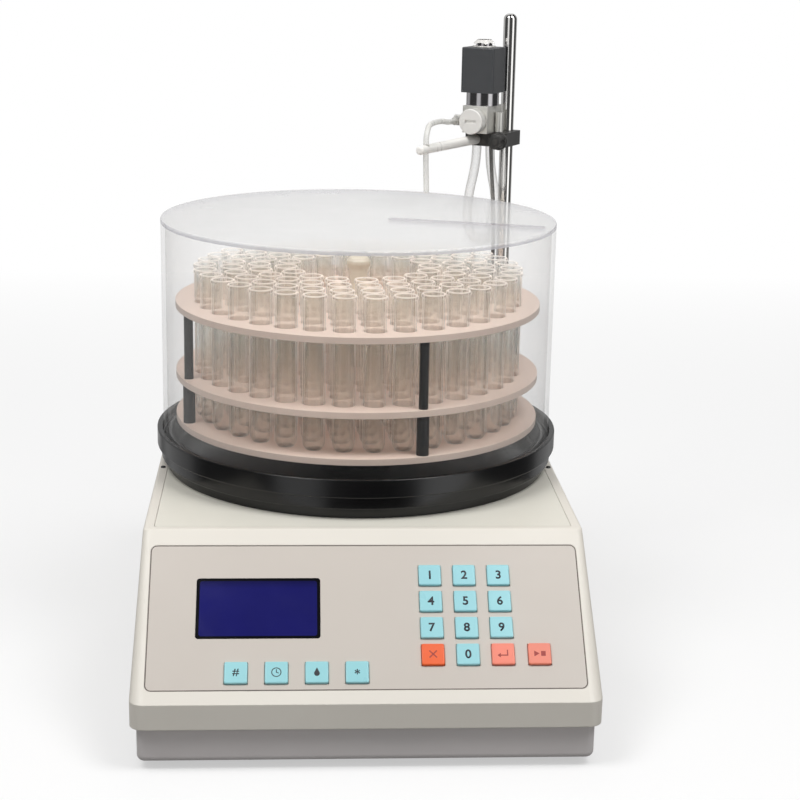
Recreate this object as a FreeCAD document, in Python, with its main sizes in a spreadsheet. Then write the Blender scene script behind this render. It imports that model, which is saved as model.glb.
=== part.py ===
import FreeCAD, Part
import math
import os
import re
import Sketcher
from FreeCAD import Placement, Rotation, Vector

# A bench-top fraction collector: a wedge-shaped case with a sloping key panel, a black round dish on its
# deck, a clear cover standing in the dish, a rack of test tubes turning under it, and a rod at the rear
# right that carries the valve head and the drip arm.
#
# Frame: +Z up, -Y the front with the key panel, origin on the bench under the middle of the case. mm.

SIZES = {
    # case
    "case_width": 285.0,          # skirt, left to right
    "case_depth": 400.0,          # skirt, front to rear
    "case_corner": 9.0,           # radius of the skirt's upright corners
    "wall": 3.0,                  # moulded wall
    "foot_height": 5.0,
    "foot_radius": 8.0,
    "foot_inset": 30.0,           # foot centre in from the skirt's sides
    "base_inset": 4.0,            # base tray in from the skirt
    "base_height": 33.0,          # base tray, tucked up inside the skirt
    "base_edge": 4.0,             # radius under the base tray
    "skirt_lift": 23.0,           # skirt above the base tray's underside
    "skirt_height": 16.0,
    "deck_rise": 80.6,            # deck above the skirt
    "deck_setback": 86.3,         # deck's front edge behind the skirt's front
    "deck_draft": 3.3,            # each side leans in by this from skirt to deck
    "deck_thickness": 6.0,        # rim around the deck plate
    "deck_corner": 5.0,
    "deck_edge": 2.0,             # radius around the deck
    "case_post_radius": 4.5,
    "case_post_inset": 12.75,     # post centre in from the skirt's sides
    # deck plate
    "plate_thickness": 3.0,
    "plate_side_rim": 6.7,        # rim left beside the plate
    "plate_front_rim": 3.9,
    "plate_rear_rim": 10.0,
    "plate_ledge": 2.8,
    "plate_gap": 0.25,
    "plate_corner": 3.0,
    "screw_head_radius": 1.7,
    "screw_head_height": 1.2,
    "screw_shank_radius": 1.0,
    "screw_gap": 0.1,
    "screw_length": 7.0,
    "screw_from_seam": 3.1,
    "screw_from_front": 131.7,    # behind the deck's front edge
    "screw_from_rear": 50.0,
    # key panel, measured on the slope: u across, v up from the skirt's top edge
    "panel_width": 266.6,
    "panel_low": 9.0,
    "panel_high": 106.4,
    "panel_thickness": 0.8,
    "panel_corner": 4.0,
    "panel_gap": 0.15,
    "window_u": -66.2,
    "window_v": 63.2,
    "window_width": 76.2,
    "window_height": 40.8,
    "window_corner": 2.0,
    "window_lip": 2.4,            # the slope stands this far in behind the window's edge
    "module_margin": 7.0,
    "module_depth": 8.0,
    "module_gap": 0.2,
    "key_size": 14.0,
    "key_corner": 1.2,
    "key_edge": 0.7,
    "key_rise": 1.7,
    "key_gap": 0.2,
    "key_stem": 5.0,              # key below the slope's outer face
    "key_flange": 1.2,
    "key_flange_height": 1.0,
    "key_travel": 1.3,
    "key_pitch_u": 21.4,
    "key_pitch_v": 17.8,
    "keypad_u": 61.4,             # middle column
    "keypad_v": 31.4,             # bottom row
    "start_key_u": 105.1,
    "soft_key_u": -79.1,          # first key of the lower left row
    "soft_key_pitch": 24.3,
    "soft_key_v": 20.2,
    "keyboard_thickness": 1.6,
    "keyboard_margin": 4.0,
    "switch_size": 6.0,
    "switch_height": 3.9,
    "switch_gap": 0.2,            # left under a key that is pressed home
    "standoff_radius": 2.5,
    # dish and cover, around the turntable's upright axis
    "table_y": 40.0,
    "cover_radius": 136.2,
    "cover_wall": 3.0,
    "cover_height": 152.5,
    "lid_thickness": 3.0,
    "slot_inner": 21.0,
    "slot_outer": 130.0,
    "slot_width": 9.0,
    "slot_angle": -17.0,
    "groove_gap": 0.4,
    "groove_depth": 5.8,
    "dish_height": 27.7,
    "dish_band": 12.3,            # tall band around the rim
    "dish_step": 8.4,
    "dish_rim_wall": 3.9,
    "dish_step_in": 2.9,
    "dish_foot_in": 6.9,
    "dish_foot_wall": 3.6,
    "dish_lip_wall": 2.3,
    "dish_lip_height": 3.0,
    "dish_floor_rise": 6.4,
    "dish_floor": 3.0,
    "dish_hole": 22.0,
    "dish_collar_wall": 3.0,
    "dish_collar_height": 24.4,
    # turntable and its drive
    "spindle_radius": 6.0,
    "spindle_tail": 3.0,
    "bearing_radius": 11.0,
    "bearing_width": 7.0,
    "bearing_gap": 0.05,
    "boss_wall": 5.0,
    "boss_height": 29.6,
    "hub_radius": 15.0,
    "hub_clearance": 2.0,
    "table_clearance": 4.9,       # turntable above the dish's collar
    "flange_radius": 45.0,
    "flange_thickness": 4.0,
    "spigot_radius": 7.0,
    "gear_module": 1.0,
    "gear_width": 8.0,
    "gear_drop": 4.0,             # gear below the bearing boss
    "drive_gear_teeth": 90.0,
    "drive_pinion_teeth": 15.0,
    "drive_motor_angle": 200.0,   # from the turntable's axis
    "drive_motor_size": 42.0,
    "drive_motor_height": 30.0,
    "drive_motor_corner": 4.0,
    "motor_shaft_radius": 2.5,
    "motor_nose_radius": 8.0,
    "motor_nose_height": 1.5,
    "shaft_engagement": 8.0,
    # rack
    "rack_radius": 126.8,
    "rack_low_radius": 127.0,
    "disc_thickness": 4.3,
    "middle_disc_rise": 30.9,
    "top_disc_rise": 49.0,
    "tube_radius": 7.5,
    "tube_wall": 0.9,
    "tube_length": 105.0,
    "tube_lip": 0.8,
    "tube_lip_height": 2.6,
    "tube_hole_gap": 0.4,
    "tube_seat_radius": 5.5,
    "tube_seat_gap": 0.1,
    "ring_one_radius": 106.7,
    "ring_two_radius": 87.9,
    "ring_three_radius": 69.1,
    "ring_four_radius": 50.3,
    "ring_one_count": 34.0,
    "ring_two_count": 28.0,
    "ring_three_count": 22.0,
    "ring_four_count": 16.0,
    "first_tube_angle": 86.1,     # first tube of each ring, clockwise from +X
    "post_circle": 122.2,
    "post_angle": 71.6,
    "post_radius": 3.1,
    "post_low_radius": 4.1,
    "post_tenon_radius": 2.2,
    "post_top_cover": 1.3,        # top disc's material left over the post
    "post_count": 4.0,
    "fixed_gap": 0.05,            # pieces fastened inside one another
    "handle_radius": 5.4,
    "handle_flare": 8.4,
    "handle_height": 109.4,
    "handle_flare_height": 9.0,
    "handle_foot_radius": 14.0,
    "handle_foot_height": 4.0,
    # rod, its turret and the swing drive
    "rod_inset_x": 26.5,          # in from the skirt's right side
    "rod_inset_y": 32.0,          # in from the skirt's rear
    "rod_radius": 5.0,
    "rod_height": 308.0,          # above the deck
    "rod_dome": 4.2,
    "rod_tail": 6.0,
    "turret_radius": 22.0,
    "turret_height": 8.0,
    "turret_edge": 2.0,
    "turret_gap": 0.3,
    "journal_radius": 11.0,
    "journal_gap": 0.06,
    "journal_length": 26.6,
    "turret_neck_radius": 8.5,
    "turret_neck": 3.0,
    "turret_boss_wall": 2.4,
    "turret_boss_height": 17.6,
    "turret_teeth": 20.0,
    "swing_wheel_teeth": 30.0,
    "swing_gear_width": 7.0,
    "swing_motor_size": 22.0,
    "swing_motor_height": 23.0,
    "swing_motor_corner": 2.0,
    # head on the rod, in its own frame: x right, -y forward along the arm
    "head_height": 210.9,         # shelf's underside above the deck
    "head_turn": 29.4,            # clockwise from straight ahead
    "head_bore_gap": 0.05,
    "shelf_thickness": 10.5,
    "shelf_left": 25.0,
    "shelf_right": 8.5,
    "shelf_front": 21.5,
    "shelf_rear": 2.0,
    "boss_half_width": 8.5,
    "boss_half_depth": 7.5,
    "head_edge": 1.5,
    "valve_left": 12.0,           # valve's axis, left of the rod
    "valve_front": 20.0,          # and in front of it
    "block_width": 20.0,
    "block_depth": 27.0,
    "block_height": 20.0,
    "bonnet_radius": 12.2,
    "bonnet_height": 9.5,
    "guide_radius": 6.0,
    "guide_wall": 1.6,
    "guide_top": 3.4,             # guide tube above the coil
    "coil_width": 26.0,
    "coil_depth": 25.0,
    "coil_height": 33.0,
    "coil_corner": 2.0,
    "nut_flats": 15.0,
    "nut_height": 5.5,
    "plunger_gap": 0.2,
    "plunger_length": 42.0,
    "plunger_sink": 6.0,          # plunger's foot below the block's top
    "plunger_travel": 1.5,
    "pin_radius": 3.0,
    "pin_height": 15.0,
    "pin_seat": 2.4,
    "pin_right": 1.3,
    "pin_front": 18.3,
    "flow_knob_radius": 9.5,
    "flow_knob_length": 8.0,
    "flow_knob_gap": 0.3,
    "flow_knob_height": 19.6,     # above the shelf's underside
    "flow_stem_radius": 4.0,
    "flow_stem_length": 6.0,
    "flow_slot_length": 11.0,
    "flow_slot_width": 2.4,
    "flow_slot_depth": 1.4,
    "stem_gap": 0.08,
    "thumb_right": 3.6,
    "thumb_height": 4.8,
    "thumb_radius": 6.8,          # disc behind the lobed grip
    "thumb_disc": 2.5,
    "thumb_grip_radius": 5.8,
    "thumb_length": 9.0,
    "thumb_lobes": 5.0,
    "thumb_gap": 0.5,
    "thumb_shank_radius": 2.5,
    "port_left": 30.0,
    "port_front": 30.0,
    "port_height": 18.0,
    "port_radius": 4.0,
    "barb_radius": 3.0,
    "arm_left": 16.0,
    "arm_height": 4.6,
    "arm_length": 100.0,
    "arm_root_radius": 3.6,
    "arm_tip_radius": 3.2,
    "arm_socket": 9.5,
    "arm_turn": 2.7,              # to the left of straight ahead
    "arm_hole_radius": 2.4,
    "arm_hole_from_tip": 10.5,
    "drop_tube_radius": 2.0,
    "hose_radius": 3.5,
    "hose_socket_left": 15.5,     # middle of the two sockets
    "hose_socket_spread": 5.4,
    "hose_socket_front": 7.5,
    "hose_socket_depth": 4.0,
    "cable_radius": 1.5,
    "gland_left": 13.0,
    "gland_rear": 9.0,
    "gland_radius": 3.0,
    "gland_height": 2.5,
    # inside the base and at the rear
    "inlet_from_side": 58.5,
    "inlet_below_deck": 42.6,
    "inlet_width": 66.0,
    "inlet_height": 30.0,
    "inlet_flange": 1.5,
    "inlet_depth": 24.0,
    "inlet_lip": 2.0,             # flange beyond the body all round
    "socket_left": 13.0,
    "socket_width": 24.0,
    "socket_height": 16.5,
    "socket_depth": 17.0,
    "socket_pin_length": 11.0,
    "rocker_right": 20.0,
    "rocker_width": 13.0,
    "rocker_height": 19.0,
    "rocker_depth": 8.0,
    "rocker_gap": 0.4,
    "rocker_sink": 3.5,           # rocker's pivot behind the flange's face
    "rocker_tilt": 7.0,
    "board_length": 150.0,
    "board_width": 110.0,
    "board_thickness": 1.6,
    "board_from_right": 100.5,    # board's middle in from the skirt
    "board_from_front": 160.0,
    "board_standoff": 8.0,
    "board_post_inset": 8.0,
    "board_post_radius": 3.5,
    "transformer_length": 66.0,
    "transformer_width": 54.0,
    "transformer_height": 52.0,
    "transformer_from_left": 58.5,
    "transformer_from_rear": 82.0,
}

doc = FreeCAD.newDocument("fraction_collector")
sheet = doc.addObject("Spreadsheet::Sheet", "dims")
for row, (alias, number) in enumerate(SIZES.items(), start=1):
    sheet.set(f"A{row}", alias)
    sheet.set(f"B{row}", str(number))
    sheet.setAlias(f"B{row}", alias)
workings = doc.addObject("Spreadsheet::Sheet", "workings")
doc.recompute()

ALIAS = re.compile(r"[a-z][a-z0-9_]*")

# Heights and places that several pieces share, as formulas in the sheet's names.
FLOOR = "(foot_height + wall)"
SKIRT_LOW = "(foot_height + skirt_lift)"
CREASE = "(foot_height + skirt_lift + skirt_height)"
DECK = "(foot_height + skirt_lift + skirt_height + deck_rise)"
SLOPE = "atan(deck_rise / deck_setback)"
POST_X = "(case_width / 2 - case_post_inset)"
POST_Y = "(case_depth / 2 - case_post_inset)"
PLATE_X = "(case_width / 2 - deck_draft - plate_side_rim)"
PLATE_FRONT = "(-case_depth / 2 + deck_setback + plate_front_rim)"
PLATE_REAR = "(case_depth / 2 - plate_rear_rim)"
PLATE_LOW = f"({DECK} - plate_thickness)"
GROOVE_FLOOR = f"({DECK} + dish_height - groove_depth)"
TABLE_TOP = f"({DECK} + dish_collar_height + table_clearance + flange_thickness)"
LOW_DISC_TOP = f"({TABLE_TOP} + disc_thickness)"
GEAR_TOP = f"({PLATE_LOW} - boss_height - gear_drop)"
DRIVE_SPAN = "(gear_module * (drive_gear_teeth + drive_pinion_teeth) / 2)"
DRIVE_X = f"({DRIVE_SPAN} * cos(drive_motor_angle))"
DRIVE_Y = f"(table_y + {DRIVE_SPAN} * sin(drive_motor_angle))"
ROD_X = "(case_width / 2 - rod_inset_x)"
ROD_Y = "(case_depth / 2 - rod_inset_y)"
SWING_SPAN = "(gear_module * (turret_teeth + swing_wheel_teeth) / 2)"
SWING_X = f"({ROD_X} - {SWING_SPAN})"
JOURNAL_LOW = f"({DECK} - journal_length)"
SWING_GEAR_TOP = f"({JOURNAL_LOW} - turret_neck)"
SHELF = f"({DECK} + head_height)"
BLOCK_TOP = "(shelf_thickness + block_height)"
COIL_LOW = "(shelf_thickness + block_height + bonnet_height)"
COIL_TOP = "(shelf_thickness + block_height + bonnet_height + coil_height)"
BOARD_X = "(case_width / 2 - board_from_right)"
BOARD_Y = "(-case_depth / 2 + board_from_front)"
TRANSFORMER = ("(-case_width / 2 + transformer_from_left)", "(case_depth / 2 - transformer_from_rear)")
INLET_X = "(-case_width / 2 + inlet_from_side)"
INLET_Z = f"({DECK} - inlet_below_deck)"


def bound(text):
    """A formula in the sheet's names, as FreeCAD writes it."""
    return ALIAS.sub(lambda m: "dims." + m.group() if m.group() in SIZES else m.group(), str(text))


def value(text):
    """The number that a formula in the sheet's names gives now."""
    workings.set("A1", "=" + bound(text))
    workings.recompute()
    return float(getattr(workings.A1, "Value", workings.A1))


def bind(item, **formulas):
    for prop, text in formulas.items():
        item.setExpression(prop, bound(text))
    return item


def put(item, x="0", y="0", z="0"):
    for axis, text in (("x", x), ("y", y), ("z", z)):
        item.setExpression(f"Placement.Base.{axis}", bound(text))
    return item


def turned_by(item, axis, angle):
    item.Placement = Placement(Vector(), Rotation(axis, value(angle)))
    item.setExpression("Placement.Rotation.Angle", bound(angle))
    return item


def on_slope(item, u="0", v="0", lift="0"):
    """Seats a piece on the key panel: u across, v up the slope, lift out of it."""
    turned_by(item, Vector(1, 0, 0), SLOPE)
    return put(item, u, f"-case_depth / 2 + ({v}) * cos({SLOPE}) - ({lift}) * sin({SLOPE})",
               f"{CREASE} + ({v}) * sin({SLOPE}) + ({lift}) * cos({SLOPE})")


def on_head(item, x="0", y="0", z="0"):
    """Seats a piece on the head: x right, -y forward along the arm, z above the shelf's underside."""
    turned_by(item, Vector(0, 0, -1), "head_turn")
    return put(item, f"{ROD_X} + ({x}) * cos(head_turn) + ({y}) * sin(head_turn)",
               f"{ROD_Y} - ({x}) * sin(head_turn) + ({y}) * cos(head_turn)", f"{SHELF} + ({z})")


# ---- primitives, booleans and rounded edges -------------------------------------------------------------

def block(name, x, y, z, length, width, height):
    """A box by its lowest corner and its three sides."""
    item = bind(doc.addObject("Part::Box", name), Length=length, Width=width, Height=height)
    return put(item, x, y, z)


def centred(name, x, y, z, length, width, height):
    """A box whose middle is at x and y, standing on z."""
    return block(name, f"{x} - ({length}) / 2", f"{y} - ({width}) / 2", z, length, width, height)


TURNS = {"z": Rotation(), "x": Rotation(Vector(0, 1, 0), 90), "y": Rotation(Vector(1, 0, 0), -90)}


def drum(name, x, y, z, radius, height, along="z"):
    """A cylinder from the point x, y, z along a positive axis."""
    item = bind(doc.addObject("Part::Cylinder", name), Radius=radius, Height=height)
    item.Placement = Placement(Vector(), TURNS[along])
    return put(item, x, y, z)


def joined(name, *items):
    item = doc.addObject("Part::MultiFuse", name)
    item.Shapes = list(items)
    return item


def carved(name, base, *tools):
    item = doc.addObject("Part::Cut", name)
    item.Base = base
    item.Tool = tools[0] if len(tools) == 1 else joined(name + "_tools", *tools)
    return item


def rounded(name, base, radius, chosen):
    """Fillets the edges of base that chosen(edge) picks."""
    doc.recompute()
    size = value(radius)
    item = doc.addObject("Part::Fillet", name)
    item.Base = base
    item.Edges = [(n, size, size) for n, edge in enumerate(base.Shape.Edges, start=1) if chosen(edge)]
    return item


def upright(edge):
    """An edge along the base's own z."""
    box = edge.BoundBox
    return max(box.XLength, box.YLength) < 1e-4 < box.ZLength


def level(height):
    """Picks the edges that lie at one height."""
    return lambda edge: abs(edge.BoundBox.ZMin - height) < 1e-4 and abs(edge.BoundBox.ZMax - height) < 1e-4


def facing(depth):
    """Picks the edges that lie at one y."""
    return lambda edge: abs(edge.BoundBox.YMin - depth) < 1e-4 and abs(edge.BoundBox.YMax - depth) < 1e-4


def feature(name, shape):
    """A piece whose shape is made with Part's own functions."""
    item = doc.addObject("Part::Feature", name)
    item.Shape = shape
    return item


def placed(shape, x, y, z=0.0, angle=0.0):
    copy = shape.copy()
    copy.Placement = Placement(Vector(x, y, z), Rotation(Vector(0, 0, 1), angle))
    return copy


# ---- sketched bodies ------------------------------------------------------------------------------------

def new_body(name):
    body = doc.addObject("PartDesign::Body", name)
    body.Label = name
    return body


def plane_of(body, role):
    return next(item for item in body.Origin.OriginFeatures if item.Role == role)


def new_sketch(body, name, role="XY_Plane"):
    sketch = body.newObject("Sketcher::SketchObject", name)
    sketch.AttachmentSupport = [(plane_of(body, role), "")]
    sketch.MapMode = "FlatFace"
    return sketch


def hold(sketch, kind, *where, text):
    index = sketch.addConstraint(Sketcher.Constraint(kind, *where, value(text)))
    sketch.setExpression(f"Constraints[{index}]", bound(text))


def hold_point(sketch, geometry, end, x, y):
    """Ties one point of the sketch to the origin by two formulas."""
    for kind, axis, text in (("DistanceX", -2, x), ("DistanceY", -1, y)):
        if text == "0":
            sketch.addConstraint(Sketcher.Constraint("PointOnObject", geometry, end, axis))
        else:
            hold(sketch, kind, -1, 1, geometry, end, text=text)


def draw(sketch, points):
    """A closed outline of straight lines."""
    spots = [Vector(value(x), value(y), 0) for x, y in points]
    count = len(spots)
    lines = [sketch.addGeometry(Part.LineSegment(spots[n], spots[(n + 1) % count]), False)
             for n in range(count)]
    for n in range(count):
        sketch.addConstraint(Sketcher.Constraint("Coincident", lines[n], 2, lines[(n + 1) % count], 1))
    for line, (x, y) in zip(lines, points):
        hold_point(sketch, line, 1, x, y)


def ring(sketch, radius, x="0", y="0"):
    middle = Vector(value(x), value(y), 0)
    circle = sketch.addGeometry(Part.Circle(middle, Vector(0, 0, 1), value(radius)), False)
    hold(sketch, "Radius", circle, text=radius)
    hold_point(sketch, circle, 3, x, y)


def lathe(name, outline):
    """A body turned from an outline of radius and height about its upright axis."""
    body = new_body(name)
    sketch = new_sketch(body, name + "_outline", "XZ_Plane")
    draw(sketch, outline)
    turned = body.newObject("PartDesign::Revolution", name + "_turned")
    turned.Profile = sketch
    turned.ReferenceAxis = (sketch, ["V_Axis"])
    turned.Angle = 360
    body.Tip = turned
    return body


def pad(body, name, sketch, length):
    item = body.newObject("PartDesign::Pad", name)
    item.Profile = sketch
    bind(item, Length=length)
    body.Tip = item
    return item


def pocket(body, name, sketch, height=None):
    """Cuts right through the body, or to the given height above the sketch."""
    item = body.newObject("PartDesign::Pocket", name)
    item.Profile = sketch
    if height:
        item.Type = "Length"
        item.Reversed = True
        bind(item, Length=height)
    else:
        item.Type = "ThroughAll"
        item.Midplane = True
    body.Tip = item
    return item


def around(body, name, original, count):
    item = body.newObject("PartDesign::PolarPattern", name)
    item.Originals = [original]
    item.Axis = (plane_of(body, "Z_Axis"), [""])
    item.Angle = 360
    bind(item, Occurrences=count)
    body.Tip = item
    return item


def rounded_outline(name, half_x, front, rear, radius, height):
    """A level sketch of a rectangle with round corners, for the case's lofts."""
    sketch = doc.addObject("Sketcher::SketchObject", name)
    put(sketch, z=height)
    left, right = f"-({half_x}) + ({radius})", f"({half_x}) - ({radius})"
    low, high = f"({front}) + ({radius})", f"({rear}) - ({radius})"
    sides = [((left, front), (right, front)), ((half_x, low), (half_x, high)),
             ((right, rear), (left, rear)), ((f"-({half_x})", high), (f"-({half_x})", low))]
    middles = [(right, low), (right, high), (left, high), (left, low)]
    lines, arcs = [], []
    for start, end in sides:
        spots = [Vector(value(x), value(y), 0) for x, y in (start, end)]
        lines.append(sketch.addGeometry(Part.LineSegment(*spots), False))
    for n, (x, y) in enumerate(middles):
        circle = Part.Circle(Vector(value(x), value(y), 0), Vector(0, 0, 1), value(radius))
        start = math.radians(90 * n - 90)
        arcs.append(sketch.addGeometry(Part.ArcOfCircle(circle, start, start + math.pi / 2), False))
    for n in range(4):
        sketch.addConstraint(Sketcher.Constraint("Coincident", lines[n], 2, arcs[n], 1))
        sketch.addConstraint(Sketcher.Constraint("Coincident", arcs[n], 2, lines[(n + 1) % 4], 1))
        for end in (1, 2):
            hold_point(sketch, lines[n], end, *sides[n][end - 1])
        hold(sketch, "Radius", arcs[n], text=radius)
    return sketch


def raised(name, sketch, length):
    """Extrudes a level sketch downwards."""
    item = doc.addObject("Part::Extrusion", name)
    item.Base = sketch
    item.DirMode = "Custom"
    item.Dir = Vector(0, 0, -1)
    bind(item, LengthFwd=length)
    item.Solid = True
    return item


def loft(name, *sketches):
    item = doc.addObject("Part::Loft", name)
    item.Sections = list(sketches)
    item.Solid = True
    item.Ruled = True
    return item


# ---- gears and cords ------------------------------------------------------------------------------------

def gear(teeth, phase, width, bore):
    """A spur wheel with straight-sided teeth, one of them centred on the angle phase."""
    module = value("gear_module")
    count = int(round(value(teeth)))
    pitch_radius = module * count / 2
    tip, root = pitch_radius + 0.9 * module, pitch_radius - 1.2 * module
    half = 0.42 * math.pi * module / 2
    lean = math.tan(math.radians(20))
    at_tip = (half - 0.9 * module * lean) / tip
    at_root = (half + 1.2 * module * lean) / root
    spots = []
    for n in range(count):
        centre = math.radians(phase) + 2 * math.pi * n / count
        for radius, offset in ((root, -at_root), (tip, -at_tip), (tip, at_tip), (root, at_root)):
            angle = centre + offset
            spots.append(Vector(radius * math.cos(angle), radius * math.sin(angle), 0))
    wheel = Part.Face(Part.makePolygon(spots + spots[:1])).extrude(Vector(0, 0, value(width)))
    if bore:
        wheel = wheel.cut(Part.makeCylinder(value(bore), value(width)))
    return wheel


def cord(name, radius, points):
    """A round cord along straight runs joined by tangent arcs; prints its tightest arc."""
    spots = [Vector(*point) for point in points]
    section = value(radius)
    path, start, radii = [], spots[0], []
    for before, here, after in zip(spots, spots[1:], spots[2:]):
        back, onward = (before - here), (after - here)
        reach = 0.45 * min(back.Length, onward.Length)
        turn = math.pi - back.getAngle(onward)
        arc = reach / math.tan(turn / 2)
        back.normalize()
        onward.normalize()
        inward = (back + onward).normalize()
        first, last = here + back * reach, here + onward * reach
        middle = here + inward * (arc / math.cos(turn / 2) - arc)
        path += [Part.LineSegment(start, first).toShape(), Part.Arc(first, middle, last).toShape()]
        start = last
        radii.append(arc)
    path.append(Part.LineSegment(start, spots[-1]).toShape())
    wire = Part.Wire(path)
    disc = Part.Face(Part.Wire(Part.makeCircle(section, spots[0], spots[1] - spots[0])))
    tube = wire.makePipe(disc)
    fill = tube.Volume / (math.pi * section ** 2 * wire.Length)
    print(f"{name}: length {wire.Length:.1f}, radii", " ".join(f"{arc:.1f}" for arc in radii),
          f"({min(radii) / (2 * section):.1f} diameters at least), volume ratio {fill:.4f}")
    return feature(name, tube)


# ---- key places, used by the panel, the slope, the key board and the keys -------------------------------

COLUMNS = ["(keypad_u - key_pitch_u)", "keypad_u", "(keypad_u + key_pitch_u)"]
ROWS = [f"(keypad_v + {n} * key_pitch_v)" for n in range(4)]
SOFT = [f"(soft_key_u + {n} * soft_key_pitch)" for n in range(4)]
KEYS = {
    "key_1": (COLUMNS[0], ROWS[3]), "key_2": (COLUMNS[1], ROWS[3]), "key_3": (COLUMNS[2], ROWS[3]),
    "key_4": (COLUMNS[0], ROWS[2]), "key_5": (COLUMNS[1], ROWS[2]), "key_6": (COLUMNS[2], ROWS[2]),
    "key_7": (COLUMNS[0], ROWS[1]), "key_8": (COLUMNS[1], ROWS[1]), "key_9": (COLUMNS[2], ROWS[1]),
    "key_clear": (COLUMNS[0], ROWS[0]), "key_0": (COLUMNS[1], ROWS[0]), "key_enter": (COLUMNS[2], ROWS[0]),
    "key_start_stop": ("start_key_u", ROWS[0]),
    "key_hash": (SOFT[0], "soft_key_v"), "key_set_time": (SOFT[1], "soft_key_v"),
    "key_set_drop": (SOFT[2], "soft_key_v"), "key_star": (SOFT[3], "soft_key_v"),
}
KEY_HOLE = "(key_size + 2 * key_gap)"
BOARD_FACE = "(key_stem + key_travel + switch_gap + switch_height)"      # below the slope's outer face
KEYPAD_LEFT = f"({COLUMNS[0]} - key_size / 2 - key_flange - 2 * keyboard_margin)"
KEYPAD_RIGHT = "(start_key_u + key_size / 2 + key_flange + keyboard_margin / 2)"
KEYPAD_LOW = f"({ROWS[0]} - key_size / 2 - keyboard_margin)"
KEYPAD_HIGH = f"({ROWS[3]} + key_size / 2 + keyboard_margin)"
SOFT_LEFT = f"({SOFT[0]} - key_size / 2 - keyboard_margin)"
STANDOFFS = [
    (f"({KEYPAD_LEFT} + standoff_radius + 0.5)", f"({ROWS[2]} + key_pitch_v / 2)"),
    (f"(({COLUMNS[2]} + start_key_u) / 2)", f"({ROWS[1]} + standoff_radius)"),
    (f"(({COLUMNS[2]} + start_key_u) / 2 + standoff_radius)", ROWS[3]),
    (f"(({SOFT[0]} + {SOFT[1]}) / 2)", "soft_key_v"),
    (f"(({SOFT[2]} + {SOFT[3]}) / 2)", "soft_key_v"),
]

# ---- case -----------------------------------------------------------------------------------------------

tray_size = ("case_width - 2 * base_inset", "case_depth - 2 * base_inset")
tray_block = centred("base_block", "0", "0", "foot_height", *tray_size, "base_height")
tray_block = rounded("base_corners", tray_block, "case_corner - base_inset", upright)
tray_block = rounded("base_under_edge", tray_block, "base_edge", level(value("foot_height")))
hollow = centred("base_hollow", "0", "0", FLOOR, f"{tray_size[0]} - 2 * wall", f"{tray_size[1]} - 2 * wall",
                 "base_height")
hollow = rounded("base_hollow_corners", hollow, "case_corner - base_inset - wall", upright)
post_places = [(f"{a}{POST_X}", f"{b}{POST_Y}") for a in ("", "-") for b in ("", "-")]
screw_holes = [drum(f"base_screw_hole_{n}", x, y, "0", "screw_shank_radius + screw_gap", f"2 * {FLOOR}")
               for n, (x, y) in enumerate(post_places)]
board_posts = [drum(f"board_post_{n}", f"{BOARD_X} {a} (board_length / 2 - board_post_inset)",
                    f"{BOARD_Y} {b} (board_width / 2 - board_post_inset)", f"{FLOOR} - 1",
                    "board_post_radius", "board_standoff + 1")
               for n, (a, b) in enumerate([("+", "+"), ("+", "-"), ("-", "+"), ("-", "-")])]
joined("base_tray", carved("base_shell", tray_block, hollow, *screw_holes), *board_posts)

skirt_outline = rounded_outline("skirt_outline", "case_width / 2", "-case_depth / 2", "case_depth / 2",
                                "case_corner", CREASE)
deck_outline = rounded_outline("deck_outline", "case_width / 2 - deck_draft",
                               "-case_depth / 2 + deck_setback", "case_depth / 2", "deck_corner", DECK)
case_form = joined("case_form", loft("case_wedge", skirt_outline, deck_outline),
                   raised("case_skirt", skirt_outline, "skirt_height"))
case_form = rounded("case_edges", case_form, "deck_edge", level(value(DECK)))

CREASE_IN = f"({CREASE} - wall * (1 - sin({SLOPE})) / cos({SLOPE}))"
CEILING = f"({DECK} - deck_thickness)"
skirt_inside = rounded_outline("skirt_inside", "case_width / 2 - wall", "-case_depth / 2 + wall",
                               "case_depth / 2 - wall", "case_corner - wall", CREASE_IN)
ceiling_outline = rounded_outline(
    "ceiling_outline", "case_width / 2 - deck_draft * (deck_rise - deck_thickness) / deck_rise - wall",
    f"-case_depth / 2 + (wall + (deck_rise - deck_thickness) * cos({SLOPE})) / sin({SLOPE})",
    "case_depth / 2 - wall", "deck_corner - wall", CEILING)
cavity = joined("case_cavity", loft("cavity_wedge", skirt_inside, ceiling_outline),
                raised("cavity_skirt", skirt_inside, f"{CREASE_IN} - {SKIRT_LOW} + 1"))
post_length = f"{CEILING} + 1 - {FLOOR}"
case_posts = [drum(f"case_post_{n}", x, y, FLOOR, "case_post_radius", post_length)
              for n, (x, y) in enumerate(post_places)]
standoffs = [on_slope(drum(f"standoff_{n}", "0", "0", "0", "standoff_radius", BOARD_FACE), u, v,
                      f"-{BOARD_FACE}")
             for n, (u, v) in enumerate(STANDOFFS)]
cavity = carved("cavity_less_posts", cavity, *case_posts, *standoffs)
low_posts = [drum(f"low_post_{n}", x, y, FLOOR, "case_post_radius", f"{SKIRT_LOW} + 1 - {FLOOR}")
             for n, (x, y) in enumerate(post_places)]

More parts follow.
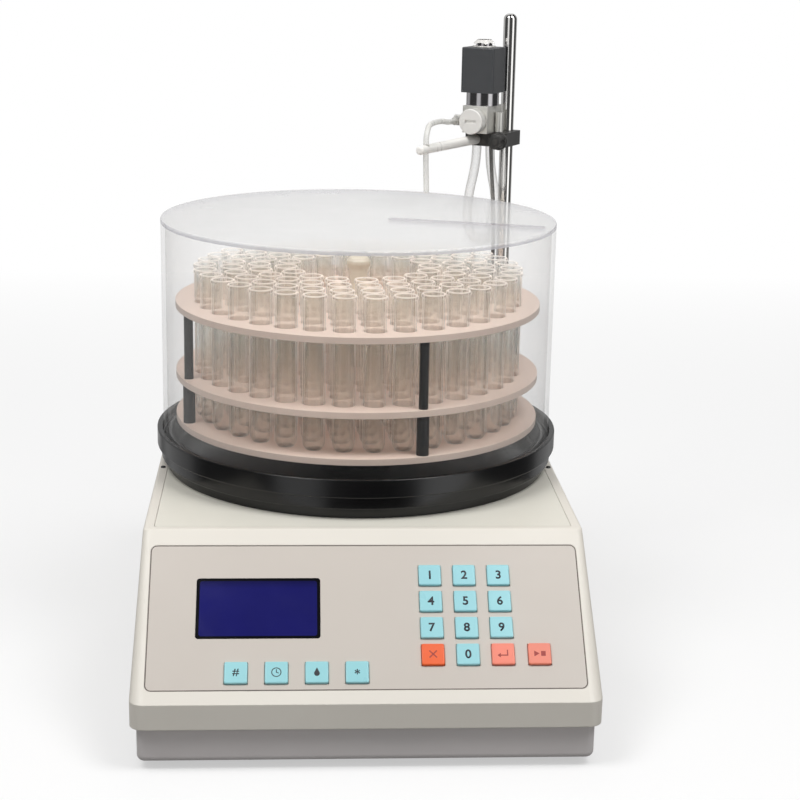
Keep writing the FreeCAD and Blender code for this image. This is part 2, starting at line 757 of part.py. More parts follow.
plate_middle = f"({PLATE_FRONT} + {PLATE_REAR}) / 2"
plate_span = f"({PLATE_REAR} - {PLATE_FRONT})"
deck_opening = centred("deck_opening", "0", plate_middle, f"{CEILING} - 1", f"2 * {PLATE_X} - 2 * plate_ledge",
                       f"{plate_span} - 2 * plate_ledge", "deck_thickness + 2")
plate_pocket = rounded("plate_pocket", centred("plate_pocket_block", "0", plate_middle, PLATE_LOW,
                       f"2 * {PLATE_X}", plate_span, "plate_thickness + 2"), "plate_corner", upright)
key_holes = [on_slope(block(name + "_hole", "0", "0", "0", KEY_HOLE, KEY_HOLE, "wall + 3"),
                      f"{u} - {KEY_HOLE} / 2", f"{v} - {KEY_HOLE} / 2", "-wall - 1")
             for name, (u, v) in KEYS.items()]
panel_span = "(panel_high - panel_low)"
panel_bed = rounded("panel_bed_corners", centred("panel_bed_block", "0", f"{panel_span} / 2", "0",
                    "panel_width + 2 * panel_gap", f"{panel_span} + 2 * panel_gap", "5"),
                    "panel_corner + panel_gap", upright)
on_slope(panel_bed, "0", "panel_low", "-panel_thickness")
window_opening = on_slope(
    block("window_opening", "0", "0", "0", "window_width - 2 * window_lip", "window_height - 2 * window_lip",
          "wall + 3"),
    "window_u - window_width / 2 + window_lip", "window_v - window_height / 2 + window_lip", "-wall - 1")
SCREW_ROWS = ("(-case_depth / 2 + deck_setback + screw_from_front)", "(case_depth / 2 - screw_from_rear)")
deck_screws = [(f"{a}({PLATE_X} + screw_from_seam)", y) for a in ("", "-") for y in SCREW_ROWS]
deck_screw_holes = [drum(f"deck_screw_hole_{n}", x, y, f"{DECK} - screw_length - 0.3",
                         "screw_shank_radius + screw_gap", "screw_length + 1")
                    for n, (x, y) in enumerate(deck_screws)]
post_screw_holes = [drum(f"post_screw_hole_{n}", x, y, f"{FLOOR} - 1", "screw_shank_radius + screw_gap",
                         "screw_length - wall + 1.5")
                    for n, (x, y) in enumerate(post_places)]
REAR = "(case_depth / 2)"
inlet_flange_bed = block("inlet_flange_bed", f"{INLET_X} - inlet_width / 2 - 0.1", f"{REAR} - inlet_flange",
                         f"{INLET_Z} - inlet_height / 2 - 0.1", "inlet_width + 0.2", "wall",
                         "inlet_height + 0.2")
inlet_opening = block("inlet_opening", f"{INLET_X} - inlet_width / 2 + inlet_lip - 0.2", f"{REAR} - wall - 1",
                      f"{INLET_Z} - inlet_height / 2 + inlet_lip - 0.2", "inlet_width - 2 * inlet_lip + 0.4",
                      "wall + 2", "inlet_height - 2 * inlet_lip + 0.4")
shell = carved("shell_cut", joined("shell_with_posts", carved("shell_wall", case_form, cavity), *low_posts),
               deck_opening, plate_pocket, panel_bed, window_opening, inlet_flange_bed, inlet_opening,
               *key_holes, *deck_screw_holes, *post_screw_holes)
shell.Label = "upper_shell"

# ---- deck plate, screws and feet ------------------------------------------------------------------------

plate = rounded("plate_slab", centred("plate_block", "0", plate_middle, PLATE_LOW,
                f"2 * {PLATE_X} - 2 * plate_gap", f"{plate_span} - 2 * plate_gap", "plate_thickness"),
                "plate_corner", upright)
bearing_boss = drum("bearing_boss", "0", "table_y", f"{PLATE_LOW} - boss_height",
                    "bearing_radius + boss_wall", "boss_height + plate_thickness / 2")
turret_boss = drum("turret_boss", ROD_X, ROD_Y, f"{PLATE_LOW} - turret_boss_height",
                   "journal_radius + turret_boss_wall", "turret_boss_height + plate_thickness / 2")
bearing_bore = drum("bearing_bore", "0", "table_y", f"{PLATE_LOW} - boss_height - 1",
                    "bearing_radius + bearing_gap", "boss_height + 1")
spindle_hole = drum("spindle_hole", "0", "table_y", f"{PLATE_LOW} - 1", "spindle_radius + 2",
                    "plate_thickness + 2")
turret_bore = drum("turret_bore", ROD_X, ROD_Y, f"{PLATE_LOW} - turret_boss_height - 1",
                   "journal_radius + journal_gap", "turret_boss_height + plate_thickness + 2")
carved("deck_plate", joined("plate_with_bosses", plate, bearing_boss, turret_boss),
       bearing_bore, spindle_hole, turret_bore)

screw = lathe("screw_form", [("0", "-screw_length"), ("screw_shank_radius", "-screw_length"),
                             ("screw_shank_radius", "0"), ("screw_head_radius", "0"),
                             ("screw_head_radius", "screw_head_height * 0.6"),
                             ("screw_head_radius * 0.6", "screw_head_height"), ("0", "screw_head_height")])
foot = lathe("foot_form", [("0", "0"), ("foot_radius * 0.9", "0"), ("foot_radius", "foot_height * 0.3"),
                           ("foot_radius", "foot_height"), ("0", "foot_height")])
doc.recompute()
down = screw.Shape.copy()
down.rotate(Vector(), Vector(1, 0, 0), 180)
feature("case_screws", Part.makeCompound(
    [placed(screw.Shape, value(x), value(y), value(DECK)) for x, y in deck_screws]
    + [Part.makeCompound([down]).translated(Vector(value(x), value(y), value("foot_height"))).Solids[0]
       for x, y in post_places]))
foot_x, foot_y = value("case_width / 2 - foot_inset"), value("case_depth / 2 - foot_inset")
feature("rubber_feet", Part.makeCompound(
    [placed(foot.Shape, a * foot_x, b * foot_y) for a in (-1, 1) for b in (-1, 1)]))

# ---- key panel ------------------------------------------------------------------------------------------

slab = rounded("panel_slab", centred("panel_block", "0", f"{panel_span} / 2", "0", "panel_width", panel_span,
               "panel_thickness"), "panel_corner", upright)
on_slope(slab, "0", "panel_low", "-panel_thickness")
window_cut = rounded("window_cut", centred("window_block", "0", "0", "0", "window_width", "window_height",
                     "wall + 3"), "window_corner", upright)
on_slope(window_cut, "window_u", "window_v", "-wall - 1")
carved("panel_plate", slab, window_cut, *key_holes)

window = rounded("display_window", centred("window_pane", "0", "0", "0", "window_width - 2 * panel_gap",
                 "window_height - 2 * panel_gap", "panel_thickness"), "window_corner - panel_gap", upright)
on_slope(window, "window_u", "window_v", "-panel_thickness")

SCREEN_LIFT = "(wall - panel_thickness - module_gap)"
module_frame = centred("module_frame", "0", "0", "-module_depth", "window_width + 2 * module_margin",
                       "window_height + module_margin", "module_depth")
module_screen = centred("module_screen", "0", "0", "-1", "window_width - 2 * window_lip - 2 * module_gap",
                        "window_height - 2 * window_lip - 2 * module_gap", f"1 + {SCREEN_LIFT}")
on_slope(joined("display_module", module_frame, module_screen), "window_u", "window_v", "-wall")

board_low = f"-{BOARD_FACE} - keyboard_thickness"
keypad_part = block("keypad_part", KEYPAD_LEFT, KEYPAD_LOW, board_low, f"{KEYPAD_RIGHT} - {KEYPAD_LEFT}",
                    f"{KEYPAD_HIGH} - {KEYPAD_LOW}", "keyboard_thickness")
soft_part = block("soft_part", SOFT_LEFT, "soft_key_v - key_size / 2 - keyboard_margin / 2", board_low,
                  f"{KEYPAD_LEFT} - {SOFT_LEFT} + 1", "key_size + keyboard_margin", "keyboard_thickness")
link_part = block("link_part", KEYPAD_LEFT, "soft_key_v - key_size / 2 - keyboard_margin / 2", board_low,
                  "key_size", "key_size + 2 * keyboard_margin", "keyboard_thickness")
switches = [centred(name + "_switch", u, v, f"-{BOARD_FACE} - 0.2", "switch_size", "switch_size",
                    "switch_height + 0.2")
            for name, (u, v) in KEYS.items()]
on_slope(joined("keypad_board", keypad_part, soft_part, link_part, *switches))

for name, (u, v) in KEYS.items():
    cap = centred(name + "_block", "0", "0", "-key_stem", "key_size", "key_size", "key_stem + key_rise")
    cap = rounded(name + "_corners", cap, "key_corner", upright)
    cap = rounded(name + "_cap", cap, "key_edge", level(value("key_rise")))
    flange = centred(name + "_flange", "0", "0", "-wall - key_gap - key_flange_height",
                     "key_size + 2 * key_flange", "key_size + 2 * key_flange", "key_flange_height")
    on_slope(joined(name, cap, flange), u, v)

# ---- dish and cover -------------------------------------------------------------------------------------

GROOVE_OUT = "(cover_radius + groove_gap)"
GROOVE_IN = "(cover_radius - cover_wall - groove_gap)"
DISH = "(cover_radius + groove_gap + dish_rim_wall)"
DISH_FOOT = f"({DISH} - dish_foot_in)"
LIP_IN = f"({GROOVE_IN} - dish_lip_wall)"
LIP_TOP = "(dish_height - groove_depth + dish_lip_height)"
DISH_FLOOR = "(dish_floor_rise + dish_floor)"
put(lathe("drip_tray", [
    (f"{DISH_FOOT} - dish_foot_wall", "0"), (DISH_FOOT, "0"),
    (DISH_FOOT, "dish_height - dish_band - dish_step"), (f"{DISH} - dish_step_in",
                                                         "dish_height - dish_band - dish_step"),
    (f"{DISH} - dish_step_in", "dish_height - dish_band"), (DISH, "dish_height - dish_band"),
    (DISH, "dish_height"), (GROOVE_OUT, "dish_height"),
    (GROOVE_OUT, "dish_height - groove_depth"), (GROOVE_IN, "dish_height - groove_depth"),
    (GROOVE_IN, LIP_TOP), (LIP_IN, LIP_TOP),
    (f"{LIP_IN} - 2.5", f"{DISH_FLOOR} + 2"), (f"{LIP_IN} - 4.5", DISH_FLOOR),
    ("dish_hole + dish_collar_wall", DISH_FLOOR), ("dish_hole + dish_collar_wall", "dish_collar_height"),
    ("dish_hole", "dish_collar_height"), ("dish_hole", "dish_floor_rise"),
    (f"{DISH_FOOT} - dish_foot_wall", "dish_floor_rise")]), "0", "table_y", DECK)

put(lathe("cover_wall", [
    ("cover_radius - cover_wall", "0"), ("cover_radius", "0"),
    ("cover_radius", "cover_height - lid_thickness"),
    ("cover_radius - cover_wall", "cover_height - lid_thickness")]), "0", "table_y", GROOVE_FLOOR)

lid_disc = rounded("lid_disc", drum("lid_drum", "0", "0", "0", "cover_radius", "lid_thickness"), "1.2",
                   level(value("lid_thickness")))
slot_block = centred("slot_block", "(slot_inner + slot_outer) / 2", "0", "-1", "slot_outer - slot_inner",
                     "slot_width", "lid_thickness + 2")
slot = rounded("lid_slot", slot_block, "slot_width * 0.45", upright)
slot.Placement = Placement(Vector(), Rotation(Vector(0, 0, -1), -value("slot_angle")))
slot.setExpression("Placement.Rotation.Angle", bound("-slot_angle"))
put(carved("cover_lid", lid_disc, slot), "0", "table_y", f"{GROOVE_FLOOR} + cover_height - lid_thickness")

# ---- turntable, its bearings and its drive --------------------------------------------------------------

table_low = "(dish_collar_height + table_clearance)"
spindle_end = "(-plate_thickness - boss_height - gear_drop - gear_width - spindle_tail)"
put(lathe("turntable", [
    ("0", spindle_end), ("spindle_radius", spindle_end), ("spindle_radius", "hub_clearance"),
    ("hub_radius", "hub_clearance"), ("hub_radius", table_low), ("flange_radius", table_low),
    ("flange_radius", f"{table_low} + flange_thickness"),
    ("spigot_radius", f"{table_low} + flange_thickness"),
    ("spigot_radius", f"{table_low} + flange_thickness + disc_thickness - 0.2"),
    ("0", f"{table_low} + flange_thickness + disc_thickness - 0.2")]), "0", "table_y", DECK)

bearing = carved("bearing_form", drum("bearing_outer", "0", "0", "0", "bearing_radius", "bearing_width"),
                 drum("bearing_inner", "0", "0", "-1", "spindle_radius + bearing_gap", "bearing_width + 2"))
doc.recompute()
feature("spindle_bearings", Part.makeCompound([
    placed(bearing.Shape, 0, value("table_y"), value(f"{PLATE_LOW} - bearing_width")),
    placed(bearing.Shape, 0, value("table_y"), value(f"{PLATE_LOW} - boss_height"))]))

drive_gear = feature("drive_gear", gear("drive_gear_teeth", value("drive_motor_angle"), "gear_width",
                                        "spindle_radius + fixed_gap"))
put(drive_gear, "0", "table_y", f"{GEAR_TOP} - gear_width")


def motor(name, size, corner, height):
    """A square motor hung under the deck plate, its nose and shaft hole facing down; z 0 is its nose's face."""
    case = rounded(name + "_case", centred(name + "_block", "0", "0", "0", size, size, height), corner, upright)
    nose = drum(name + "_nose", "0", "0", "-motor_nose_height", "motor_nose_radius", "motor_nose_height + 1")
    hole = drum(name + "_hole", "0", "0", "-motor_nose_height - 1", "motor_shaft_radius + bearing_gap",
                "motor_nose_height + 1 + shaft_engagement + 0.5")
    return carved(name, joined(name + "_body", case, nose), hole)


put(motor("drive_motor", "drive_motor_size", "drive_motor_corner", "drive_motor_height"), DRIVE_X, DRIVE_Y,
    f"{PLATE_LOW} - drive_motor_height")
pinion_shaft = Part.makeCylinder(value("motor_shaft_radius"), value(
    f"{PLATE_LOW} - drive_motor_height + shaft_engagement - {GEAR_TOP} + gear_width"))
drive_pinion = feature("drive_pinion", gear(
    "drive_pinion_teeth", value("drive_motor_angle + 180 + 180 / drive_pinion_teeth"), "gear_width",
    None).fuse(pinion_shaft).removeSplitter())
put(drive_pinion, DRIVE_X, DRIVE_Y, f"{GEAR_TOP} - gear_width")

# ---- rack -----------------------------------------------------------------------------------------------

RINGS = ("one", "two", "three", "four")


def rack_disc(name, radius, hole, post_hole, centre_hole, low, post_hole_height=None):
    body = new_body(name)
    sketch = new_sketch(body, name + "_outline")
    ring(sketch, radius)
    ring(sketch, centre_hole)
    pad(body, name + "_pad", sketch, "disc_thickness")
    for word in RINGS:
        row = new_sketch(body, f"{name}_{word}")
        ring(row, hole, f"ring_{word}_radius * cos(first_tube_angle)",
             f"-ring_{word}_radius * sin(first_tube_angle)")
        cut = pocket(body, f"{name}_{word}_hole", row)
        around(body, f"{name}_{word}_ring", cut, f"ring_{word}_count")
    row = new_sketch(body, name + "_post")
    ring(row, post_hole, "post_circle * cos(post_angle)", "-post_circle * sin(post_angle)")
    around(body, name + "_posts", pocket(body, name + "_post_hole", row, post_hole_height), "post_count")
    return put(body, "0", "table_y", low)


rack_disc("rack_bottom_disc", "rack_low_radius", "tube_seat_radius", "post_tenon_radius + fixed_gap",
          "spigot_radius + fixed_gap", TABLE_TOP)
rack_disc("rack_middle_disc", "rack_radius", "tube_radius + tube_hole_gap", "post_radius + fixed_gap",
          "handle_radius + fixed_gap", f"{LOW_DISC_TOP} + middle_disc_rise - disc_thickness")
rack_disc("rack_top_disc", "rack_radius", "tube_radius + tube_hole_gap", "post_tenon_radius + fixed_gap",
          "handle_radius + fixed_gap", f"{LOW_DISC_TOP} + middle_disc_rise + top_disc_rise - disc_thickness",
          "disc_thickness - post_top_cover + fixed_gap")

top_low = "(middle_disc_rise + top_disc_rise - disc_thickness)"
post = lathe("post_form", [
    ("0", "-disc_thickness"), ("post_tenon_radius", "-disc_thickness"), ("post_tenon_radius", "0"),
    ("post_low_radius", "0"), ("post_low_radius", "middle_disc_rise - disc_thickness"),
    ("post_radius", "middle_disc_rise - disc_thickness"), ("post_radius", top_low),
    ("post_tenon_radius", top_low), ("post_tenon_radius", f"{top_low} + disc_thickness - post_top_cover"),
    ("0", f"{top_low} + disc_thickness - post_top_cover")])
tube_solid = rounded("tube_solid", drum("tube_drum", "0", "0", "0", "tube_radius", "tube_length"),
                     "tube_radius * 0.999", level(0))
tube_rim = drum("tube_rim", "0", "0", "tube_length - tube_lip_height", "tube_radius + tube_lip",
                "tube_lip_height")
tube_bore = rounded("tube_bore", drum("tube_bore_drum", "0", "0", "tube_wall", "tube_radius - tube_wall",
                    "tube_length"), "(tube_radius - tube_wall) * 0.999", level(value("tube_wall")))
tube = carved("tube_form", joined("tube_outside", tube_solid, tube_rim), tube_bore)
doc.recompute()
post_spots = [math.radians(-value("post_angle") + 360 * n / value("post_count"))
              for n in range(int(value("post_count")))]
feature("rack_posts", Part.makeCompound([
    placed(post.Shape, value("post_circle") * math.cos(a), value("post_circle") * math.sin(a) + value("table_y"),
           value(LOW_DISC_TOP)) for a in post_spots]))
tube_z = value(f"{LOW_DISC_TOP} + sqrt(tube_radius ^ 2 - tube_seat_radius ^ 2) - tube_radius + tube_seat_gap")
tubes = []
for word in RINGS:
    reach, count = value(f"ring_{word}_radius"), int(value(f"ring_{word}_count"))
    for n in range(count):
        a = math.radians(-value("first_tube_angle") + 360 * n / count)
        tubes.append(placed(tube.Shape, reach * math.cos(a), reach * math.sin(a) + value("table_y"), tube_z))
feature("test_tubes", Part.makeCompound(tubes))

put(lathe("rack_handle", [
    ("0", "0"), ("handle_foot_radius", "0"), ("handle_foot_radius", "handle_foot_height"),
    ("handle_radius", "handle_foot_height + 2"), ("handle_radius", "handle_height - handle_flare_height - 9"),
    ("handle_flare * 0.8", "handle_height - handle_flare_height"), ("handle_flare", "handle_height - 5"),
    ("handle_flare", "handle_height - 3"), ("handle_flare * 0.8", "handle_height - 1"),
    ("handle_flare * 0.45", "handle_height"), ("0", "handle_height")]), "0", "table_y", LOW_DISC_TOP)

# ---- rod, turret and swing drive ------------------------------------------------------------------------

rod = drum("rod_drum", "0", "0", "0", "rod_radius",
           f"{DECK} + rod_height - {JOURNAL_LOW} + rod_tail")
rod_length = f"({DECK} + rod_height - {JOURNAL_LOW} + rod_tail)"
put(rounded("stand_rod", rod, "rod_dome", level(value(rod_length))), ROD_X, ROD_Y,
    f"{JOURNAL_LOW} - rod_tail")

rod_bore = "(rod_radius + fixed_gap)"
neck_low = "(-journal_length - turret_neck - swing_gear_width)"
turret_turning = lathe("turret_turning", [
    (rod_bore, neck_low), ("turret_neck_radius", neck_low), ("turret_neck_radius", "-journal_length"),
    ("journal_radius", "-journal_length"), ("journal_radius", "turret_gap"), ("turret_radius", "turret_gap"),
    ("turret_radius", "turret_gap + turret_height - turret_edge"),
    ("turret_radius - turret_edge", "turret_gap + turret_height"), (rod_bore, "turret_gap + turret_height")])
turret_teeth = feature("turret_teeth", gear("turret_teeth", 180 + value("head_turn"), "swing_gear_width",
                                            rod_bore))
put(turret_teeth, "0", "0", neck_low)
gland = drum("cable_gland", "-gland_left", "gland_rear", "turret_gap + turret_height - 1", "gland_radius",
             "gland_height + 1")
turret = joined("rod_turret", turret_turning, turret_teeth, gland)
on_head(turret, "0", "0", "-head_height")

put(motor("swing_motor", "swing_motor_size", "swing_motor_corner", "swing_motor_height"), SWING_X, ROD_Y,
    f"{PLATE_LOW} - swing_motor_height")
swing_shaft = Part.makeCylinder(value("motor_shaft_radius"), value(
    f"{PLATE_LOW} - swing_motor_height + shaft_engagement - {SWING_GEAR_TOP} + swing_gear_width"))
swing_pinion = feature("swing_pinion", gear("swing_wheel_teeth", value("180 / swing_wheel_teeth"),
                                            "swing_gear_width", None).fuse(swing_shaft).removeSplitter())
put(swing_pinion, SWING_X, ROD_Y, f"{SWING_GEAR_TOP} - swing_gear_width")

# ---- head: clamp block, valve and arm, built about the rod with z 0 at the shelf's underside ------------

VALVE = ("-valve_left", "-valve_front")
BLOCK_FRONT = "(-valve_front - block_depth / 2)"
ARM_ROOT_Y = "(-shelf_front + arm_socket)"

head_block = centred("head_block", "0", "0", "0", "2 * boss_half_width", "2 * boss_half_depth",
                     "shelf_thickness")
head_shelf = block("head_shelf", "-shelf_left", "-shelf_front", "0", "shelf_left + shelf_right",
                   "shelf_front + shelf_rear", "shelf_thickness")
head_body = joined("head_blank", rounded("head_block_corners", head_block, "head_edge", upright),
                   rounded("head_shelf_corners", head_shelf, "head_edge", upright))
rod_hole = drum("rod_hole", "0", "0", "-1", "rod_radius + head_bore_gap", "shelf_thickness + 2")
thumb_hole = drum("thumb_hole", "thumb_right", "-shelf_front - 1", "thumb_height",
                  "thumb_shank_radius + stem_gap", "shelf_front + 1", "y")
pin_hole = drum("pin_hole", "pin_right", "-pin_front", "shelf_thickness - pin_seat", "pin_radius + fixed_gap",
                "pin_seat + 1")
hose_holes = [drum(f"hose_hole_{n}", f"-hose_socket_left {a} hose_socket_spread", "-hose_socket_front", "-1",
                   "hose_radius + fixed_gap", "hose_socket_depth + 1")
              for n, a in enumerate("+-")]
arm_hole = drum("arm_hole", "0", "0", "0", "arm_root_radius + fixed_gap", "arm_socket + 1", "y")
arm_hole.Placement = Placement(Vector(), Rotation(Vector(0, 0, -1), value("arm_turn"))
                               * Rotation(Vector(1, 0, 0), 90))
put(arm_hole, "-arm_left + (arm_socket - 0.2) * sin(arm_turn)", f"{ARM_ROOT_Y} + 0.2", "arm_height")
on_head(carved("boss_head", head_body, rod_hole, thumb_hole, pin_hole, arm_hole, *hose_holes))

knob_front = "(-shelf_front - thumb_gap - thumb_length)"
thumb_disc = drum("thumb_back", "thumb_right", f"{knob_front} + thumb_length - thumb_disc", "thumb_height",
                  "thumb_radius", "thumb_disc", "y")
thumb_grip = rounded("thumb_grip", drum("thumb_drum", "thumb_right", knob_front, "thumb_height",
                     "thumb_grip_radius", "thumb_length - 1", "y"), "1", facing(value(knob_front)))
flute_reach, flute_turn = "1.25 * thumb_grip_radius", "360 / thumb_lobes"
thumb_flutes = [drum(f"thumb_flute_{n}", f"thumb_right + {flute_reach} * cos({n} * {flute_turn})",
                     f"{knob_front} - 1", f"thumb_height + {flute_reach} * sin({n} * {flute_turn})",
                     "0.4 * thumb_grip_radius", "thumb_length - thumb_disc + 1", "y")
                for n in range(int(value("thumb_lobes")))]
thumb_shank = drum("thumb_shank", "thumb_right", f"{knob_front} + thumb_length - 1", "thumb_height",
                   "thumb_shank_radius", f"-{knob_front} - thumb_length + 1 - rod_radius - 0.1", "y")
on_head(joined("clamp_screw", carved("thumb_knob", thumb_grip, *thumb_flutes), thumb_disc, thumb_shank))

valve_body = centred("valve_body", *VALVE, "shelf_thickness", "block_width", "block_depth", "block_height")
port = drum("valve_port", "-port_left - port_radius", "-valve_front", "port_height", "port_radius",
            "port_left + port_radius - valve_left", "x")
barb = drum("valve_barb", "-port_left", "-port_front", "port_height", "barb_radius",
            "port_front - valve_front", "y")
plunger_well = drum("plunger_well", *VALVE, f"{BLOCK_TOP} - plunger_sink - 0.3",
                    "guide_radius - guide_wall", "plunger_sink + 2")
stem_well = drum("stem_well", "-valve_left", f"{BLOCK_FRONT} - 1", "flow_knob_height",
                 "flow_stem_radius + stem_gap", "flow_stem_length + 1.3", "y")
valve_casting = carved("valve_casting", joined("valve_blank", valve_body, port, barb), plunger_well, stem_well)
guide_pin = drum("guide_pin", "pin_right", "-pin_front", "shelf_thickness - pin_seat", "pin_radius",
                 "pin_height + pin_seat")
valve_pair = doc.addObject("Part::Compound", "valve_block")
valve_pair.Links = [valve_casting, guide_pin]
on_head(valve_pair)

guide_length = "(bonnet_height + coil_height + guide_top)"
bonnet = lathe("bonnet_turning", [
    ("guide_radius - guide_wall", "0"), ("bonnet_radius", "0"), ("bonnet_radius", "bonnet_height"),
    ("guide_radius", "bonnet_height"), ("guide_radius", guide_length), ("0", guide_length),
    ("0", f"{guide_length} - guide_wall"), ("guide_radius - guide_wall", f"{guide_length} - guide_wall")])
bonnet.Label = "valve_bonnet"
on_head(bonnet, *VALVE, BLOCK_TOP)

plunger = lathe("valve_plunger", [
    ("0", "0"), ("guide_radius - guide_wall - plunger_gap - 1.2", "0"),
    ("guide_radius - guide_wall - plunger_gap", "1.2"),
    ("guide_radius - guide_wall - plunger_gap", "plunger_length"), ("0", "plunger_length")])
on_head(plunger, *VALVE, f"{BLOCK_TOP} - plunger_sink")

coil_block = centred("coil_block", *VALVE, COIL_LOW, "coil_width", "coil_depth", "coil_height")
coil_case = rounded("coil_corners", coil_block, "coil_corner", upright)
coil_case = rounded("coil_case", coil_case, "coil_corner / 2", level(value(COIL_TOP)))
coil_bore = drum("coil_bore", *VALVE, f"{COIL_LOW} - 1", "guide_radius + fixed_gap", "coil_height + 2")
on_head(carved("coil_housing", coil_case, coil_bore))

nut_prism = bind(doc.addObject("Part::Prism", "nut_prism"), Circumradius="nut_flats / sqrt(3)",
                 Height="nut_height")
nut_prism.Polygon = 6
put(nut_prism, *VALVE, COIL_TOP)
nut_bore = drum("nut_bore", *VALVE, f"{COIL_TOP} - 1", "guide_radius + fixed_gap", "guide_top + 1.1")
on_head(carved("coil_nut", nut_prism, nut_bore))

flow_front = f"({BLOCK_FRONT} - flow_knob_gap - flow_knob_length)"
flow_knob = rounded("flow_knob_body", drum("flow_drum", "-valve_left", flow_front, "flow_knob_height",
                    "flow_knob_radius", "flow_knob_length", "y"), "0.8", facing(value(flow_front)))
flow_stem = drum("flow_stem", "-valve_left", f"{BLOCK_FRONT} - 1", "flow_knob_height", "flow_stem_radius",
                 "flow_stem_length + 1", "y")
flow_slot = block("flow_slot", "-valve_left - flow_slot_length / 2", f"{flow_front} - 1",
                  "flow_knob_height - flow_slot_width / 2", "flow_slot_length", "flow_slot_depth + 1",
                  "flow_slot_width")
on_head(carved("flow_knob", joined("flow_blank", flow_knob, flow_stem), flow_slot))

arm_cone = bind(doc.addObject("Part::Cone", "arm_cone"), Radius1="arm_root_radius", Radius2="arm_tip_radius",
                Height="arm_length")
arm_cone = rounded("arm_taper", arm_cone, "arm_tip_radius * 0.6", level(value("arm_length")))
tip_hole = drum("arm_tip_hole", "-4 * arm_root_radius", "0", "arm_length - arm_hole_from_tip",
                "arm_hole_radius", "8 * arm_root_radius", "x")
arm = carved("dropper_arm", arm_cone, tip_hole)
arm_lean = Rotation(Vector(0, 0, -1), value("head_turn + arm_turn")) * Rotation(Vector(1, 0, 0), 90)
arm.Placement = Placement(Vector(), arm_lean * Rotation(Vector(0, 0, 1), 90))
arm_x = "(-arm_left + arm_socket * sin(arm_turn))"
put(arm, f"{ROD_X} + {arm_x} * cos(head_turn) + {ARM_ROOT_Y} * sin(head_turn)",
    f"{ROD_Y} - {arm_x} * sin(head_turn) + {ARM_ROOT_Y} * cos(head_turn)", f"{SHELF} + arm_height")

# ---- flexible tubes and the valve's cable ---------------------------------------------------------------

on_head(cord("drop_tube", "drop_tube_radius", [
    (-30, -30, 18), (-30, -41, 18), (-29.2, -52, 19.8), (-27.9, -63, 20.6), (-26.2, -73, 20.9),
    (-24.4, -81.5, 21.0), (-22.8, -88.5, 20.9), (-21.5, -94, 20.2), (-20.4, -98.8, 16.7), (-19.85, -101.5, 11.4),
    (-19.77, -101.4, 0), (-19.5, -101.1, -11.5), (-19.2, -100.8, -20.5), (-19.1, -100.7, -26.5)]))
on_head(cord("hose_loop", "hose_radius", [
    (-10.1, -7.5, 4), (-10.1, -7.5, -9), (-7.9, -7.7, -23), (-4.7, -7.9, -35.6), (-3.4, -8.0, -50),
    (-3.9, -7.9, -65.9), (-10.6, -7.7, -73.3), (-20.4, -7.4, -73.1), (-27.2, -7.2, -65.6),
    (-27.7, -7.1, -50), (-26.0, -7.2, -35.8), (-22.9, -7.4, -23), (-20.9, -7.5, -9), (-20.9, -7.5, 4)]))
on_head(cord("valve_cable", "cable_radius", [
    (-18, -7.5, 48), (-18, 1.3, 48), (-17.7, 7.6, 40.6), (-17.2, 8.6, 26), (-16.6, 8.4, 6), (-15.2, 8.2, -18),
    (-13.0, 8.8, -44), (-11.8, 9.6, -72), (-12.4, 9.6, -100), (-14.4, 9.0, -128), (-14.8, 8.6, -154),
    (-13.6, 8.8, -176), (-13.0, 9.0, -192), (-13, 9, -200.1)]))

# ---- inside the base and at the rear --------------------------------------------------------------------

SOCKET_X = f"({INLET_X} - socket_left)"
ROCKER_X = f"({INLET_X} + rocker_right)"
inlet_face = block("inlet_face", f"{INLET_X} - inlet_width / 2", f"{REAR} - inlet_flange",
                   f"{INLET_Z} - inlet_height / 2", "inlet_width", "inlet_flange", "inlet_height")
inlet_body = block("inlet_body", f"{INLET_X} - inlet_width / 2 + inlet_lip", f"{REAR} - inlet_depth",
                   f"{INLET_Z} - inlet_height / 2 + inlet_lip", "inlet_width - 2 * inlet_lip",
                   "inlet_depth - inlet_flange / 2", "inlet_height - 2 * inlet_lip")
socket_well = block("socket_well", f"{SOCKET_X} - socket_width / 2", f"{REAR} - socket_depth",
                    f"{INLET_Z} - socket_height / 2", "socket_width", "socket_depth + 1", "socket_height")
rocker_well = block("rocker_well", f"{ROCKER_X} - rocker_width / 2", f"{REAR} - rocker_depth - 1",
                    f"{INLET_Z} - rocker_height / 2", "rocker_width", "rocker_depth + 2", "rocker_height")
pins = [centred(f"socket_pin_{n}", f"{SOCKET_X} + {dx}", f"{REAR} - socket_depth - 1 + socket_pin_length / 2",
                f"{INLET_Z} + {dz} - 2.5", "2", "socket_pin_length", "5")
        for n, (dx, dz) in enumerate([(-7, -1.5), (7, -1.5), (0, 2.5)])]
joined("mains_inlet", carved("inlet_moulding", joined("inlet_blank", inlet_face, inlet_body), socket_well,
                             rocker_well), *pins)

rocker_half = "(rocker_height / 2 - rocker_gap)"
rocker_body = block("rocker_body", "-rocker_width / 2 + rocker_gap", "-3", f"-{rocker_half}",
                    "rocker_width - 2 * rocker_gap", "3 + rocker_sink - 1.4", f"2 * {rocker_half}")
rocker_axle = drum("rocker_axle", "-rocker_width / 2 + 0.05", "0", "0", "1.2", "rocker_width - 0.1", "x")
rocker = joined("power_rocker", rocker_body, rocker_axle)
turned_by(rocker, Vector(1, 0, 0), "rocker_tilt")
put(rocker, ROCKER_X, f"{REAR} - rocker_sink", INLET_Z)

